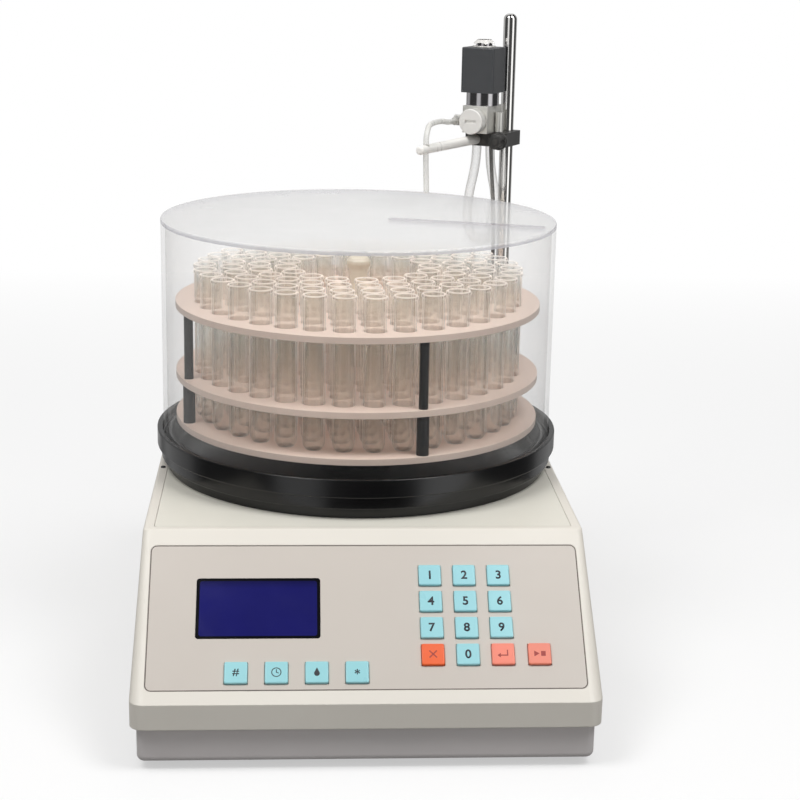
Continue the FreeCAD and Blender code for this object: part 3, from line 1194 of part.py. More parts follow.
board = centred("board_plate", BOARD_X, BOARD_Y, f"{FLOOR} + board_standoff", "board_length",
                "board_width", "board_thickness")
BOARD_TOP = f"({FLOOR} + board_standoff + board_thickness - 0.2)"
chips = [centred(f"board_chip_{n}", f"{BOARD_X} + {dx} * board_length", f"{BOARD_Y} + {dy} * board_width",
                 BOARD_TOP, f"{sx} * board_length", f"{sy} * board_width", f"{sz} * board_thickness")
         for n, (dx, dy, sx, sy, sz) in enumerate([
             (-0.2, 0.2, 0.24, 0.14, 2.5), (0.08, 0.24, 0.17, 0.11, 2.5), (-0.23, -0.09, 0.15, 0.2, 2),
             (0.03, -0.11, 0.2, 0.09, 2), (0.32, 0.18, 0.09, 0.27, 7.5), (0.31, -0.22, 0.2, 0.08, 7),
             (-0.36, -0.35, 0.16, 0.07, 5.5), (0.05, -0.36, 0.27, 0.06, 5.5)])]
joined("control_board", board, *chips)

core = centred("transformer_core", *TRANSFORMER, f"{FLOOR} + 2",
               "transformer_length", "transformer_width * 0.6", "transformer_height - 2")
winding = centred("transformer_winding", *TRANSFORMER, f"{FLOOR} + 8",
                  "transformer_length * 0.62", "transformer_width", "transformer_height - 16")
winding = rounded("winding_corners", winding, "5", upright)
feet_plate = centred("transformer_feet", *TRANSFORMER, FLOOR, "transformer_length + 16",
                     "transformer_width * 0.45", "2.5")
joined("power_transformer", core, winding, feet_plate)

# ---- checks and files -----------------------------------------------------------------------------------

NODES = [
    "base_tray", "upper_shell", "deck_plate", "case_screws", "rubber_feet", "panel_plate", "display_window",
    "display_module", "keypad_board", *KEYS, "drip_tray", "cover_wall", "cover_lid", "turntable",
    "spindle_bearings", "drive_gear", "drive_motor", "drive_pinion", "rack_bottom_disc", "rack_middle_disc",
    "rack_top_disc", "rack_posts", "rack_handle", "test_tubes", "stand_rod", "rod_turret", "swing_motor",
    "swing_pinion", "boss_head", "clamp_screw", "valve_block", "valve_bonnet", "valve_plunger",
    "coil_housing", "coil_nut", "flow_knob", "dropper_arm", "drop_tube", "hose_loop", "valve_cable",
    "mains_inlet", "power_rocker", "control_board", "power_transformer",
]

doc.recompute()
failed = [item.Label for item in doc.Objects if {"Invalid", "Error"} & set(item.State)]
pieces = {name: doc.getObjectsByLabel(name)[0] for name in NODES}
for name, item in pieces.items():
    if item.Shape.isNull() or not item.Shape.isValid() or not item.Shape.Solids:
        failed.append(name)
if failed:
    raise RuntimeError("failed: " + ", ".join(sorted(set(failed))))
if len(set(NODES)) != len(NODES) or len(NODES) > 60:
    raise RuntimeError(f"{len(NODES)} nodes")

os.makedirs("parts", exist_ok=True)
for name, item in pieces.items():
    item.Shape.exportStep(f"parts/{name}.step")
print(len(NODES), "nodes written")
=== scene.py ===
import math
import bmesh
import bpy
from mathutils import Matrix, Vector


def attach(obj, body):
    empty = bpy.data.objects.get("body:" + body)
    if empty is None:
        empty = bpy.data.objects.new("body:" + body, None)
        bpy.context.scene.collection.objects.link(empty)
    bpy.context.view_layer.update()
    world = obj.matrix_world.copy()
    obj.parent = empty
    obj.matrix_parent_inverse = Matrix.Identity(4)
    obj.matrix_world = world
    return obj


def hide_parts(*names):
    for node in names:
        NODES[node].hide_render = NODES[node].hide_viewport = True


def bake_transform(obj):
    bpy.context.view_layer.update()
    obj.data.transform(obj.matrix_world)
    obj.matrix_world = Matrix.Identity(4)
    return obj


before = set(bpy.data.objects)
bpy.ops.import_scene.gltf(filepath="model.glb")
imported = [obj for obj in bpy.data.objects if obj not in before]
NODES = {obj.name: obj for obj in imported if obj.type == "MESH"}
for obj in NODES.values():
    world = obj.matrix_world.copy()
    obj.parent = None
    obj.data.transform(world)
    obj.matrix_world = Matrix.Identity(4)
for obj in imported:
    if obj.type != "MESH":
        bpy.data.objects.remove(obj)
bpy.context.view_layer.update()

# A bench-top fraction collector: a cream wedge-shaped case with a sloping key panel, a black dish with a
# clear cover, a turning rack of test tubes, and a rod with the valve head, drip arm and tubes.
# Blender is in metres. Pieces are built in millimetres about their own origin, then put in place.

SCENE = bpy.context.scene

MILLIMETRES = Matrix.Scale(0.001, 4)
HERE = Matrix.Identity(4)
# the case's front rises 80.6 mm over 86.3 mm, from this edge
SLOPE = math.atan(80.6 / 86.3)
SLOPE_FRONT, SLOPE_LOW = -200.0, 44.0
# key panel: u across, v up the slope, lift out of it
PANEL = Matrix.Translation((0, SLOPE_FRONT, SLOPE_LOW)) @ Matrix.Rotation(SLOPE, 4, "X")
# dish, rack and cover turn about an upright axis; the deck is at z 0 here
TABLE = Matrix.Translation((0, 40, 124.6))
# valve head: x right, -y forward along the arm, z above the shelf's underside
HEAD_TURN = math.radians(29.4)
HEAD = Matrix.Translation((116, 168, 335.5)) @ Matrix.Rotation(-HEAD_TURN, 4, "Z")
FACING_FRONT = Matrix.Rotation(math.pi / 2, 4, "X")        # turns +Z to the front, -Y
FACING_REAR = Matrix.Rotation(math.pi, 4, "Z") @ FACING_FRONT

# display window in the panel: its middle, and half of its clear part, in mm
DISPLAY_MIDDLE = (-66.2, 63.2)
DISPLAY_HALF = (34.4, 16.9)
# test tubes: how many stand in each ring and how far from the table's axis, in mm
TUBE_RINGS = ((34, 106.7), (28, 87.9), (22, 69.1), (16, 50.3))
FIRST_TUBE = math.radians(-86.1)
TUBE_FOOT, TUBE_LENGTH, TUBE_RADIUS, TUBE_BORE = 35.3, 104.95, 7.5, 6.6
# studio screens that shiny pieces mirror: degrees from the front towards +X, half width, brightness
SCREENS = ((-34, 14, 0.9), (50, 16, 1.3), (-127, 20, 0.5), (138, 16, 0.45), (172, 14, 0.45),
           (-172, 18, 0.45))
GAP_BETWEEN_SCREENS = 0.07


# ---- node trees ----

def feed(tree, node, inputs):
    """Gives a node's inputs, by name or place, numbers, colours or the sockets of other nodes."""
    for key, source in inputs.items():
        if isinstance(source, bpy.types.NodeSocket):
            tree.links.new(source, node.inputs[key])
        else:
            node.inputs[key].default_value = source


def add(tree, kind, inputs=None, **settings):
    node = tree.nodes.new(kind)
    for key, setting in settings.items():
        setattr(node, key, setting)
    feed(tree, node, inputs or {})
    return node


def sums(tree, operation, *terms):
    return add(tree, "ShaderNodeMath", dict(enumerate(terms)), operation=operation).outputs[0]


def vectors(tree, operation, *terms, out="Vector"):
    node = add(tree, "ShaderNodeVectorMath", dict(enumerate(terms)), operation=operation)
    return node.outputs[out]


def stretched(tree, source, low, high, to_low=0.0, to_high=1.0):
    """Maps low..high onto to_low..to_high, held at the ends."""
    node = add(tree, "ShaderNodeMapRange", {0: source, 1: low, 2: high, 3: to_low, 4: to_high})
    return node.outputs[0]


def mixed(tree, share, first, second):
    """first where share is 0, second where it is 1."""
    node = add(tree, "ShaderNodeMix", {0: share, 6: first, 7: second}, data_type="RGBA")
    return node.outputs[2]


def object_place(tree):
    return add(tree, "ShaderNodeTexCoord").outputs["Object"]


def noise(tree, place, scale, detail, **more):
    return add(tree, "ShaderNodeTexNoise",
               {"Vector": place, "Scale": scale, "Detail": detail, **more}).outputs[0]


def colour(red, green, blue):
    return (red, green, blue, 1.0)


def new_group(name, kind, inputs, outputs):
    tree = bpy.data.node_groups.new(name, kind)
    for direction, sockets in (("INPUT", inputs), ("OUTPUT", outputs)):
        for label, socket_kind, *start in sockets:
            socket = tree.interface.new_socket(label, in_out=direction, socket_type=socket_kind)
            if start:
                socket.default_value = start[0]
    return tree, tree.nodes.new("NodeGroupInput").outputs, tree.nodes.new("NodeGroupOutput").inputs


FLOAT, VECTOR, COLOUR, GEOMETRY = [f"NodeSocket{kind}" for kind in ("Float", "Vector", "Color", "Geometry")]


# ---- finishes that several materials share ----

def cloudy_tone_group():
    """A colour that drifts slowly between two."""
    tree, given, out = new_group("cloudy tone", "ShaderNodeTree",
                                 [("First", COLOUR), ("Second", COLOUR), ("Scale", FLOAT, 8.0)],
                                 [("Colour", COLOUR)])
    cloud = noise(tree, object_place(tree), given["Scale"], 4.0, Roughness=0.55)
    tree.links.new(mixed(tree, stretched(tree, cloud, 0.36, 0.64), given["First"], given["Second"]),
                   out["Colour"])
    return tree


def fine_grain_group():
    """The small bumps of moulded plastic, paint or cast metal."""
    tree, given, out = new_group("fine grain", "ShaderNodeTree",
                                 [("Scale", FLOAT, 1500.0), ("Pits", FLOAT, 0.4)], [("Height", FLOAT)])
    place = object_place(tree)
    bumps = noise(tree, place, given["Scale"], 2.0, Roughness=0.6)
    pits = add(tree, "ShaderNodeTexVoronoi", {"Vector": place, "Scale": given["Scale"]}).outputs["Distance"]
    tree.links.new(sums(tree, "MULTIPLY_ADD", pits, given["Pits"], bumps), out["Height"])
    return tree


def drawn_lines_group():
    """Fine lines left by drawing, turning or brushing, long where Stretch is small."""
    tree, given, out = new_group("drawn lines", "ShaderNodeTree",
                                 [("Stretch", VECTOR, (1.0, 1.0, 0.02)), ("Scale", FLOAT, 3000.0)],
                                 [("Height", FLOAT)])
    along = vectors(tree, "MULTIPLY", object_place(tree), given["Stretch"])
    tree.links.new(noise(tree, along, given["Scale"], 3.0, Roughness=0.7), out["Height"])
    return tree


def soft_edge_group():
    """A rounded look for sharp edges, and a patchy mask of the edges, where rubbed wear and a painted edge
    highlight go.
    """
    tree, given, out = new_group("soft edge", "ShaderNodeTree",
                                 [("Radius", FLOAT, 0.0004), ("Patches", FLOAT, 60.0)],
                                 [("Normal", VECTOR), ("Rubbed", FLOAT)])
    rounded = add(tree, "ShaderNodeBevel", {"Radius": given["Radius"]}, samples=4).outputs[0]
    facing = add(tree, "ShaderNodeNewGeometry").outputs["Normal"]
    edge = sums(tree, "SUBTRACT", 1.0, vectors(tree, "DOT_PRODUCT", rounded, facing, out="Value"))
    patches = noise(tree, object_place(tree), given["Patches"], 3.0)
    rubbed_and_highlit = sums(tree, "MULTIPLY", stretched(tree, edge, 0.02, 0.22), stretched(tree, patches, 0.3, 0.62))
    tree.links.new(rounded, out["Normal"])
    tree.links.new(rubbed_and_highlit, out["Rubbed"])
    return tree


def settled_dust_group():
    """Where dust lies: on what faces up, thicker in soft patches."""
    tree, given, out = new_group("settled dust", "ShaderNodeTree", [("Amount", FLOAT, 0.1)],
                                 [("Mask", FLOAT)])
    facing = add(tree, "ShaderNodeNewGeometry").outputs["Normal"]
    up = add(tree, "ShaderNodeSeparateXYZ", {0: facing}).outputs["Z"]
    patches = noise(tree, object_place(tree), 22.0, 6.0, Roughness=0.7)
    lies = sums(tree, "MULTIPLY", stretched(tree, up, 0.5, 1.0), stretched(tree, patches, 0.35, 0.75))
    tree.links.new(sums(tree, "MULTIPLY", lies, given["Amount"]), out["Mask"])
    return tree


def handled_gloss_group():
    """Roughness that drifts between a cleaner and a more handled surface."""
    tree, given, out = new_group("handled gloss", "ShaderNodeTree",
                                 [("Low", FLOAT, 0.3), ("High", FLOAT, 0.5), ("Scale", FLOAT, 25.0)],
                                 [("Roughness", FLOAT)])
    smears = noise(tree, object_place(tree), given["Scale"], 5.0, Roughness=0.6, Distortion=0.4)
    share = stretched(tree, smears, 0.3, 0.7)
    span = sums(tree, "SUBTRACT", given["High"], given["Low"])
    tree.links.new(sums(tree, "MULTIPLY_ADD", share, span, given["Low"]), out["Roughness"])
    return tree


CLOUDY_TONE = cloudy_tone_group()
FINE_GRAIN = fine_grain_group()
DRAWN_LINES = drawn_lines_group()
SOFT_EDGE = soft_edge_group()
SETTLED_DUST = settled_dust_group()
HANDLED_GLOSS = handled_gloss_group()


def use(tree, group, **inputs):
    return add(tree, "ShaderNodeGroup", inputs, node_tree=group).outputs


# ---- materials ----

DUST = colour(0.62, 0.6, 0.56)


def blank(name):
    material = bpy.data.materials.new(name)
    material.use_nodes = True
    tree = material.node_tree
    return material, tree, tree.nodes["Principled BSDF"], tree.nodes["Material Output"]


def finish(name, first, second, roughness=(0.4, 0.5), metallic=0.0, grain=1500.0, depth=0.01, edge=0.4,
           edge_wear_and_highlight=None, edge_wear_and_highlight_share=0.0, dust=0.0, lines=None, specular=0.5):
    """A surface of two drifting colours, with grain or drawn lines, soft edges, edge wear partly painted as
    an edge highlight, and dust.
    depth and edge are in mm; lines is the Stretch of drawn lines, instead of the grain."""
    material, tree, shader, _ = blank(name)
    shade = use(tree, CLOUDY_TONE, First=colour(*first), Second=colour(*second), Scale=9.0)["Colour"]
    soft = use(tree, SOFT_EDGE, Radius=edge * 0.001, Patches=70.0)
    if lines:
        relief = use(tree, DRAWN_LINES, Stretch=lines, Scale=grain)
    else:
        relief = use(tree, FINE_GRAIN, Scale=grain, Pits=0.4)
    # the lighter edge colour is partly real wear on rubbed edges and partly a painted highlight along the
    # edges
    if edge_wear_and_highlight:
        shade = mixed(tree, sums(tree, "MULTIPLY", soft["Rubbed"], edge_wear_and_highlight_share), shade, colour(*edge_wear_and_highlight))
    if dust:
        shade = mixed(tree, use(tree, SETTLED_DUST, Amount=dust)["Mask"], shade, DUST)
    gloss = use(tree, HANDLED_GLOSS, Low=roughness[0], High=roughness[1], Scale=26.0)["Roughness"]
    normal = add(tree, "ShaderNodeBump", {"Strength": 1.0, "Distance": depth * 0.001,
                                          "Height": relief["Height"], "Normal": soft["Normal"]}).outputs[0]
    feed(tree, shader, {"Base Color": shade, "Roughness": gloss, "Normal": normal, "Metallic": metallic,
                        "Specular IOR Level": specular})
    return material


def display_face():
    """Dark blue display behind a black printed frame, u and v in mm from the window's middle."""
    material, tree, shader, _ = blank("display face")
    middle = PANEL @ Vector((*DISPLAY_MIDDLE, 0))
    from_middle = vectors(tree, "SUBTRACT", object_place(tree), tuple(middle * 0.001))
    flat = add(tree, "ShaderNodeMapping",
               {"Vector": from_middle, "Rotation": (-SLOPE, 0, 0), "Scale": (1000.0, 1000.0, 1000.0)},
               vector_type="POINT").outputs[0]
    apart = add(tree, "ShaderNodeSeparateXYZ", {0: flat}).outputs
    on_face = add(tree, "ShaderNodeCombineXYZ", {0: apart["X"], 1: apart["Y"]}).outputs[0]
    beyond = vectors(tree, "SUBTRACT", vectors(tree, "ABSOLUTE", on_face), (*DISPLAY_HALF, 0.0))
    corner = vectors(tree, "LENGTH", vectors(tree, "MAXIMUM", beyond, (0.0, 0.0, 0.0)), out="Value")
    printed = stretched(tree, corner, 1.5, 1.75)
    cells = add(tree, "ShaderNodeTexBrick", {"Vector": on_face, "Scale": 1.0, "Mortar Size": 0.05,
                                             "Brick Width": 0.56, "Row Height": 0.56,
                                             "Color1": colour(1, 1, 1), "Color2": colour(0.9, 0.9, 0.9),
                                             "Mortar": colour(0, 0, 0)}, offset=0.0).outputs["Color"]
    glow = use(tree, CLOUDY_TONE, First=colour(0.009, 0.009, 0.115), Second=colour(0.012, 0.012, 0.14),
               Scale=14.0)["Colour"]
    # painted shade: the blue field darkens towards its top, under the bezel
    lit = mixed(tree, stretched(tree, apart["Y"], 19.5, 13.5, 0.75, 0.0), glow, colour(0.004, 0.004, 0.03))
    dotted = mixed(tree, 0.10, lit, mixed(tree, 0.5, lit, cells))
    shade = mixed(tree, printed, mixed(tree, 0.12, lit, dotted), colour(0.006, 0.006, 0.008))
    gloss = use(tree, HANDLED_GLOSS, Low=0.08, High=0.16, Scale=40.0)["Roughness"]
    feed(tree, shader, {"Base Color": shade, "Roughness": gloss, "Specular IOR Level": 0.25})
    return material


def clear_sheet(name, flat, edge_tint, haze, lies_flat, roughness):
    """Clear acrylic: a light haze on its faces, milkier where it is seen on edge or cut.
    haze is for a face seen straight, a face seen aslant, and a cut edge."""
    material, tree, shader, _ = blank(name)
    facing = add(tree, "ShaderNodeLayerWeight", {"Blend": 0.22}).outputs["Facing"]
    normal = add(tree, "ShaderNodeNewGeometry").outputs["Normal"]
    upright = add(tree, "ShaderNodeSeparateXYZ", {0: normal}).outputs["Z"]
    if lies_flat:
        cut = stretched(tree, sums(tree, "ABSOLUTE", upright), 0.9, 0.3)
    else:
        cut = stretched(tree, sums(tree, "ABSOLUTE", upright), 0.3, 0.9)
    smears = use(tree, HANDLED_GLOSS, Low=roughness[0], High=roughness[1], Scale=12.0)["Roughness"]
    drift = use(tree, CLOUDY_TONE, First=colour(*flat), Second=colour(*[c * 0.94 for c in flat]),
                Scale=6.0)["Colour"]
    shade = mixed(tree, cut, drift, colour(*edge_tint))
    veil = stretched(tree, facing, 0.0, 1.0, haze[0], haze[1])
    shadow = add(tree, "ShaderNodeLightPath").outputs["Is Shadow Ray"]
    see = sums(tree, "MULTIPLY", sums(tree, "MAXIMUM", veil, sums(tree, "MULTIPLY", cut, haze[2])),
               stretched(tree, shadow, 0.0, 1.0, 1.0, 0.2))
    feed(tree, shader, {"Base Color": shade, "Roughness": smears, "Alpha": see, "IOR": 1.49})
    return material


def tube_glass():
    """Thin clear glass that darkens where many walls stand in a row, with painted highlights on its edges
    and rim.
    Most of the light goes straight through it, and all of the lamps' light does."""
    material, tree, shader, output = blank("tube glass")
    shade = use(tree, CLOUDY_TONE, First=colour(0.985, 0.99, 0.985), Second=colour(0.96, 0.975, 0.965),
                Scale=30.0)["Colour"]
    gloss = use(tree, HANDLED_GLOSS, Low=0.0, High=0.02, Scale=50.0)["Roughness"]
    feed(tree, shader, {"Base Color": shade, "Roughness": gloss, "Transmission Weight": 1.0, "IOR": 1.47})
    rays = add(tree, "ShaderNodeLightPath").outputs
    unlit = sums(tree, "MAXIMUM", rays["Is Shadow Ray"], rays["Is Diffuse Ray"])
    tint = mixed(tree, unlit, colour(0.955, 0.956, 0.95), colour(0.99, 0.99, 0.99))
    open_air = add(tree, "ShaderNodeBsdfTransparent", {0: tint}).outputs[0]
    straight = sums(tree, "MAXIMUM", unlit, 0.86)
    both = add(tree, "ShaderNodeMixShader", {0: straight, 1: shader.outputs[0], 2: open_air}).outputs[0]
    height = add(tree, "ShaderNodeSeparateXYZ", {0: object_place(tree)}).outputs["Z"]
    rim_top = TABLE.translation.z + TUBE_FOOT + TUBE_LENGTH
    rim = stretched(tree, height, (rim_top - 0.85) * 0.001, (rim_top - 0.45) * 0.001, 0.0, 0.42)
    facing = add(tree, "ShaderNodeLayerWeight", {"Blend": 0.5}).outputs["Facing"]
    edge = stretched(tree, facing, 0.62, 0.86, 0.0, 0.75)
    # painted highlight: edges seen aslant and the rim get a white diffuse, lit as if it faced the lamps
    lit_from = add(tree, "ShaderNodeCombineXYZ", {1: -0.4, 2: 0.92}).outputs[0]
    front, back = [add(tree, kind, {"Color": colour(0.7, 0.69, 0.665), "Normal": lit_from}).outputs[0]
                   for kind in ("ShaderNodeBsdfDiffuse", "ShaderNodeBsdfTranslucent")]
    white = add(tree, "ShaderNodeAddShader", {0: front, 1: back}).outputs[0]
    glint = sums(tree, "MULTIPLY", sums(tree, "MAXIMUM", rim, edge), sums(tree, "SUBTRACT", 1.0, unlit))
    whole = add(tree, "ShaderNodeMixShader", {0: glint, 1: both, 2: white}).outputs[0]
    tree.links.new(whole, output.inputs["Surface"])
    return material


def hose_wall(name, tint, see):
    """Milky flexible tube: clearer through its middle, whiter at its edges."""
    material, tree, shader, _ = blank(name)
    shade = use(tree, CLOUDY_TONE, First=colour(*tint), Second=colour(*[c * 0.92 for c in tint]),
                Scale=60.0)["Colour"]
    facing = add(tree, "ShaderNodeLayerWeight", {"Blend": 0.4}).outputs["Facing"]
    gloss = use(tree, HANDLED_GLOSS, Low=0.22, High=0.34, Scale=60.0)["Roughness"]
    relief = use(tree, FINE_GRAIN, Scale=900.0, Pits=0.1)["Height"]
    normal = add(tree, "ShaderNodeBump",
                 {"Strength": 0.5, "Distance": 0.00002, "Height": relief}).outputs[0]
    feed(tree, shader, {"Base Color": shade, "Roughness": gloss, "Normal": normal,
                        "Alpha": stretched(tree, facing, 0.0, 0.8, *see)})
    return material


# the keys' lighter edge colour is mostly a painted highlight along their edges, with some wear
def key_finish(name, first, second, edge_wear_and_highlight):
    return finish(name, first, second, (0.26, 0.36), grain=3000.0, depth=0.006, edge=0.9, edge_wear_and_highlight=edge_wear_and_highlight,
                  edge_wear_and_highlight_share=0.7)


def ink_finish(name, first, second, roughness=(0.4, 0.5)):
    return finish(name, first, second, roughness, grain=3000.0, depth=0.004, edge=0.02)


CREAM = (0.815, 0.775, 0.7), (0.795, 0.755, 0.68)
PAINT = {
    "shell": finish("cream paint", *CREAM, (0.36, 0.5), grain=2600.0, depth=0.012, edge=0.7,
                    edge_wear_and_highlight=(0.9, 0.88, 0.82), edge_wear_and_highlight_share=0.3, dust=0.05),
    "deck": finish("cream deck paint", (0.8, 0.775, 0.69), (0.78, 0.755, 0.67), (0.36, 0.5),
                   grain=2600.0, depth=0.012, edge=0.3, dust=0.1),
    "base": finish("grey base paint", (0.72, 0.68, 0.67), (0.69, 0.655, 0.645), (0.45, 0.6),
                   grain=1800.0, depth=0.02, edge=0.5, edge_wear_and_highlight=(0.7, 0.69, 0.68), edge_wear_and_highlight_share=0.3),
    "screw": finish("dark screw plating", (0.1, 0.1, 0.1), (0.07, 0.07, 0.072), (0.3, 0.45),
                    metallic=1.0, edge=0.1, edge_wear_and_highlight=(0.5, 0.5, 0.5), edge_wear_and_highlight_share=0.5),
    "foot": finish("foot rubber", (0.03, 0.03, 0.03), (0.045, 0.045, 0.045), (0.7, 0.85),
                   grain=900.0, depth=0.04, edge=0.6, dust=0.2),
    "panel": finish("panel print", (0.62, 0.565, 0.508), (0.605, 0.55, 0.495), (0.34, 0.44),
                    grain=3600.0, depth=0.008, edge=0.15, dust=0.05),
    "ink": ink_finish("black ink", (0.02, 0.022, 0.03), (0.035, 0.035, 0.045)),
    "red_ink": ink_finish("red ink", (0.33, 0.028, 0.02), (0.4, 0.04, 0.03)),
    "white_ink": ink_finish("white ink", (0.82, 0.82, 0.8), (0.75, 0.75, 0.73)),
    # the panel's dark edge line: partly print, partly painted shade of the gap around the panel
    "line": ink_finish("panel edge shade line", (0.1, 0.08, 0.07), (0.16, 0.13, 0.11), (0.4, 0.55)),
    "module": finish("display module", (0.01, 0.01, 0.1), (0.012, 0.012, 0.12), (0.2, 0.3)),
    "pcb": finish("circuit board", (0.02, 0.14, 0.06), (0.015, 0.11, 0.05), (0.3, 0.45),
                  grain=500.0, depth=0.03, edge=0.2),
    "key_blue": key_finish("blue key", (0.35, 0.71, 0.76), (0.33, 0.68, 0.74), (0.5, 0.86, 0.9)),
    "key_red": key_finish("red key", (0.95, 0.145, 0.03), (0.91, 0.13, 0.027), (0.95, 0.3, 0.16)),
    "key_coral": key_finish("coral key", (0.96, 0.26, 0.175), (0.93, 0.245, 0.165), (0.95, 0.42, 0.32)),
    "key_salmon": key_finish("salmon key", (0.89, 0.255, 0.17), (0.86, 0.24, 0.16), (0.9, 0.36, 0.26)),
    "dish": finish("glossy black moulding", (0.003, 0.003, 0.0035), (0.005, 0.005, 0.0055),
                   (0.16, 0.27), grain=1600.0, depth=0.006, edge=0.5, edge_wear_and_highlight=(0.05, 0.05, 0.055),
                   edge_wear_and_highlight_share=0.4, dust=0.015),
    "rack": finish("rack sheet", (0.84, 0.68, 0.585), (0.81, 0.65, 0.56), (0.34, 0.46),
                   grain=1800.0, depth=0.01, edge=0.5, edge_wear_and_highlight=(0.88, 0.74, 0.66), edge_wear_and_highlight_share=0.4, dust=0.03),
    "post": finish("black post", (0.004, 0.004, 0.0045), (0.008, 0.008, 0.0085), (0.34, 0.46),
                   grain=1400.0, depth=0.01, edge=0.3, specular=0.3),
    "handle": finish("ivory handle", (0.78, 0.72, 0.6), (0.74, 0.68, 0.56), (0.26, 0.38),
                     grain=1400.0, depth=0.01, edge=0.5),
    "metal": finish("machined aluminium", (0.7, 0.7, 0.71), (0.62, 0.62, 0.63), (0.28, 0.42),
                    metallic=1.0, lines=(1.0, 1.0, 0.03), grain=2600.0, depth=0.006),
    "bearing": finish("ground steel", (0.58, 0.58, 0.6), (0.5, 0.5, 0.52), (0.18, 0.3),
                      metallic=1.0, lines=(1.0, 1.0, 0.05), grain=2600.0, depth=0.004),
    "gear": finish("moulded gear", (0.78, 0.76, 0.7), (0.74, 0.72, 0.66), (0.4, 0.5),
                   grain=1500.0, depth=0.01, edge=0.2),
    "motor": finish("motor paint", (0.03, 0.03, 0.033), (0.045, 0.045, 0.048), (0.4, 0.5),
                    grain=1800.0, depth=0.015, edge=0.4),
    "pinion": finish("machined brass", (0.72, 0.5, 0.2), (0.66, 0.44, 0.17), (0.25, 0.35),
                     metallic=1.0, lines=(0.2, 0.2, 1.0), grain=3000.0, depth=0.005, edge=0.15),
    "chrome": finish("chromed steel", (0.82, 0.81, 0.79), (0.76, 0.75, 0.735), (0.06, 0.12),
                     metallic=1.0, lines=(1.0, 1.0, 0.015), grain=5200.0, depth=0.0012, edge=0.3),
    "dark_steel": finish("dark polished steel", (0.46, 0.45, 0.46), (0.38, 0.37, 0.385), (0.1, 0.2),
                         metallic=1.0, lines=(1.0, 1.0, 0.015), grain=4200.0, depth=0.002, edge=0.3),
    "black": finish("black moulding", (0.034, 0.033, 0.031), (0.046, 0.045, 0.042), (0.34, 0.46),
                    grain=1300.0, depth=0.016, edge=0.4, edge_wear_and_highlight=(0.14, 0.14, 0.14), edge_wear_and_highlight_share=0.4, dust=0.03),
    "steel": finish("satin steel", (0.84, 0.83, 0.785), (0.76, 0.75, 0.71), (0.28, 0.4),
                    metallic=0.7, lines=(1.0, 0.06, 1.0), grain=3000.0, depth=0.006, edge=0.6,
                    edge_wear_and_highlight=(0.85, 0.84, 0.82), edge_wear_and_highlight_share=0.5),
    "nickel": finish("pale nickel", (0.96, 0.945, 0.91), (0.92, 0.905, 0.87), (0.36, 0.5),
                     metallic=0.4, lines=(1.0, 0.06, 1.0), grain=3000.0, depth=0.005, edge=0.3),
    "coil": finish("coil moulding", (0.055, 0.058, 0.062), (0.068, 0.071, 0.076), (0.4, 0.52),
                   grain=1300.0, depth=0.016, edge=0.5, edge_wear_and_highlight=(0.17, 0.17, 0.18), edge_wear_and_highlight_share=0.4, dust=0.04),
    "white": finish("white arm", (0.95, 0.93, 0.895), (0.92, 0.9, 0.86), (0.26, 0.36),
                    grain=1100.0, depth=0.008, edge=0.4),
    "cable": finish("cable rubber", (0.014, 0.014, 0.015), (0.022, 0.022, 0.023), (0.38, 0.5),
                    grain=1500.0, depth=0.01, edge=0.1),
    "inlet": finish("inlet moulding", (0.014, 0.014, 0.015), (0.022, 0.022, 0.023), (0.34, 0.46),
                    grain=1500.0, depth=0.012, edge=0.3),
    "iron": finish("laminated iron", (0.3, 0.26, 0.2), (0.24, 0.21, 0.17), (0.4, 0.55),
                   metallic=0.6, lines=(1.0, 1.0, 30.0), grain=60.0, depth=0.05, edge=0.3),
    "display": display_face(),
    "wall": clear_sheet("clear cover wall", (0.79, 0.785, 0.775), (0.7, 0.7, 0.73),
                        (0.008, 0.34, 0.5), False, (0.04, 0.1)),
    "lid": clear_sheet("clear cover lid", (0.81, 0.81, 0.805), (0.58, 0.575, 0.63),
                       (0.26, 0.7, 0.5), True, (0.14, 0.2)),
    "glass": tube_glass(),
    "silicone": hose_wall("silicone hose", (0.88, 0.87, 0.84), (0.16, 0.7)),
    "drip": hose_wall("drip tube", (0.88, 0.87, 0.83), (0.4, 0.88)),
}

NODE_PAINT = {
    "upper_shell": "shell", "deck_plate": "deck", "base_tray": "base", "rubber_feet": "foot",
    "panel_plate": "panel", "display_window": "display", "display_module": "module", "keypad_board": "pcb",
    "spindle_bearings": "bearing", "drive_motor": "motor", "swing_motor": "motor", "mains_inlet": "inlet",
    "control_board": "pcb", "power_transformer": "iron", "turntable": "metal", "drive_gear": "gear",
    "rack_bottom_disc": "rack", "rack_middle_disc": "rack", "rack_top_disc": "rack", "rack_posts": "post",
    "rack_handle": "handle", "drive_pinion": "pinion", "swing_pinion": "gear", "stand_rod": "chrome",
    "rod_turret": "black", "boss_head": "black", "valve_block": "steel", "valve_bonnet": "dark_steel",
    "coil_housing": "coil", "coil_nut": "chrome", "dropper_arm": "white", "valve_plunger": "bearing",
    "cover_wall": "wall", "cover_lid": "lid", "power_rocker": "inlet",
    "key_clear": "key_red", "key_enter": "key_coral", "key_start_stop": "key_salmon",
    **{f"key_{name}": "key_blue" for name in [*"0123456789", "hash", "star", "set_time", "set_drop"]},
}
for node, paint in NODE_PAINT.items():
    slots = NODES[node].material_slots
    for slot in slots:
        slot.material = PAINT[paint]
    if not slots:
        NODES[node].data.materials.append(PAINT[paint])


# ---- making meshes ----

def shown(name, data):
    item = bpy.data.objects.new(name, data)
    SCENE.collection.objects.link(item)
    return item


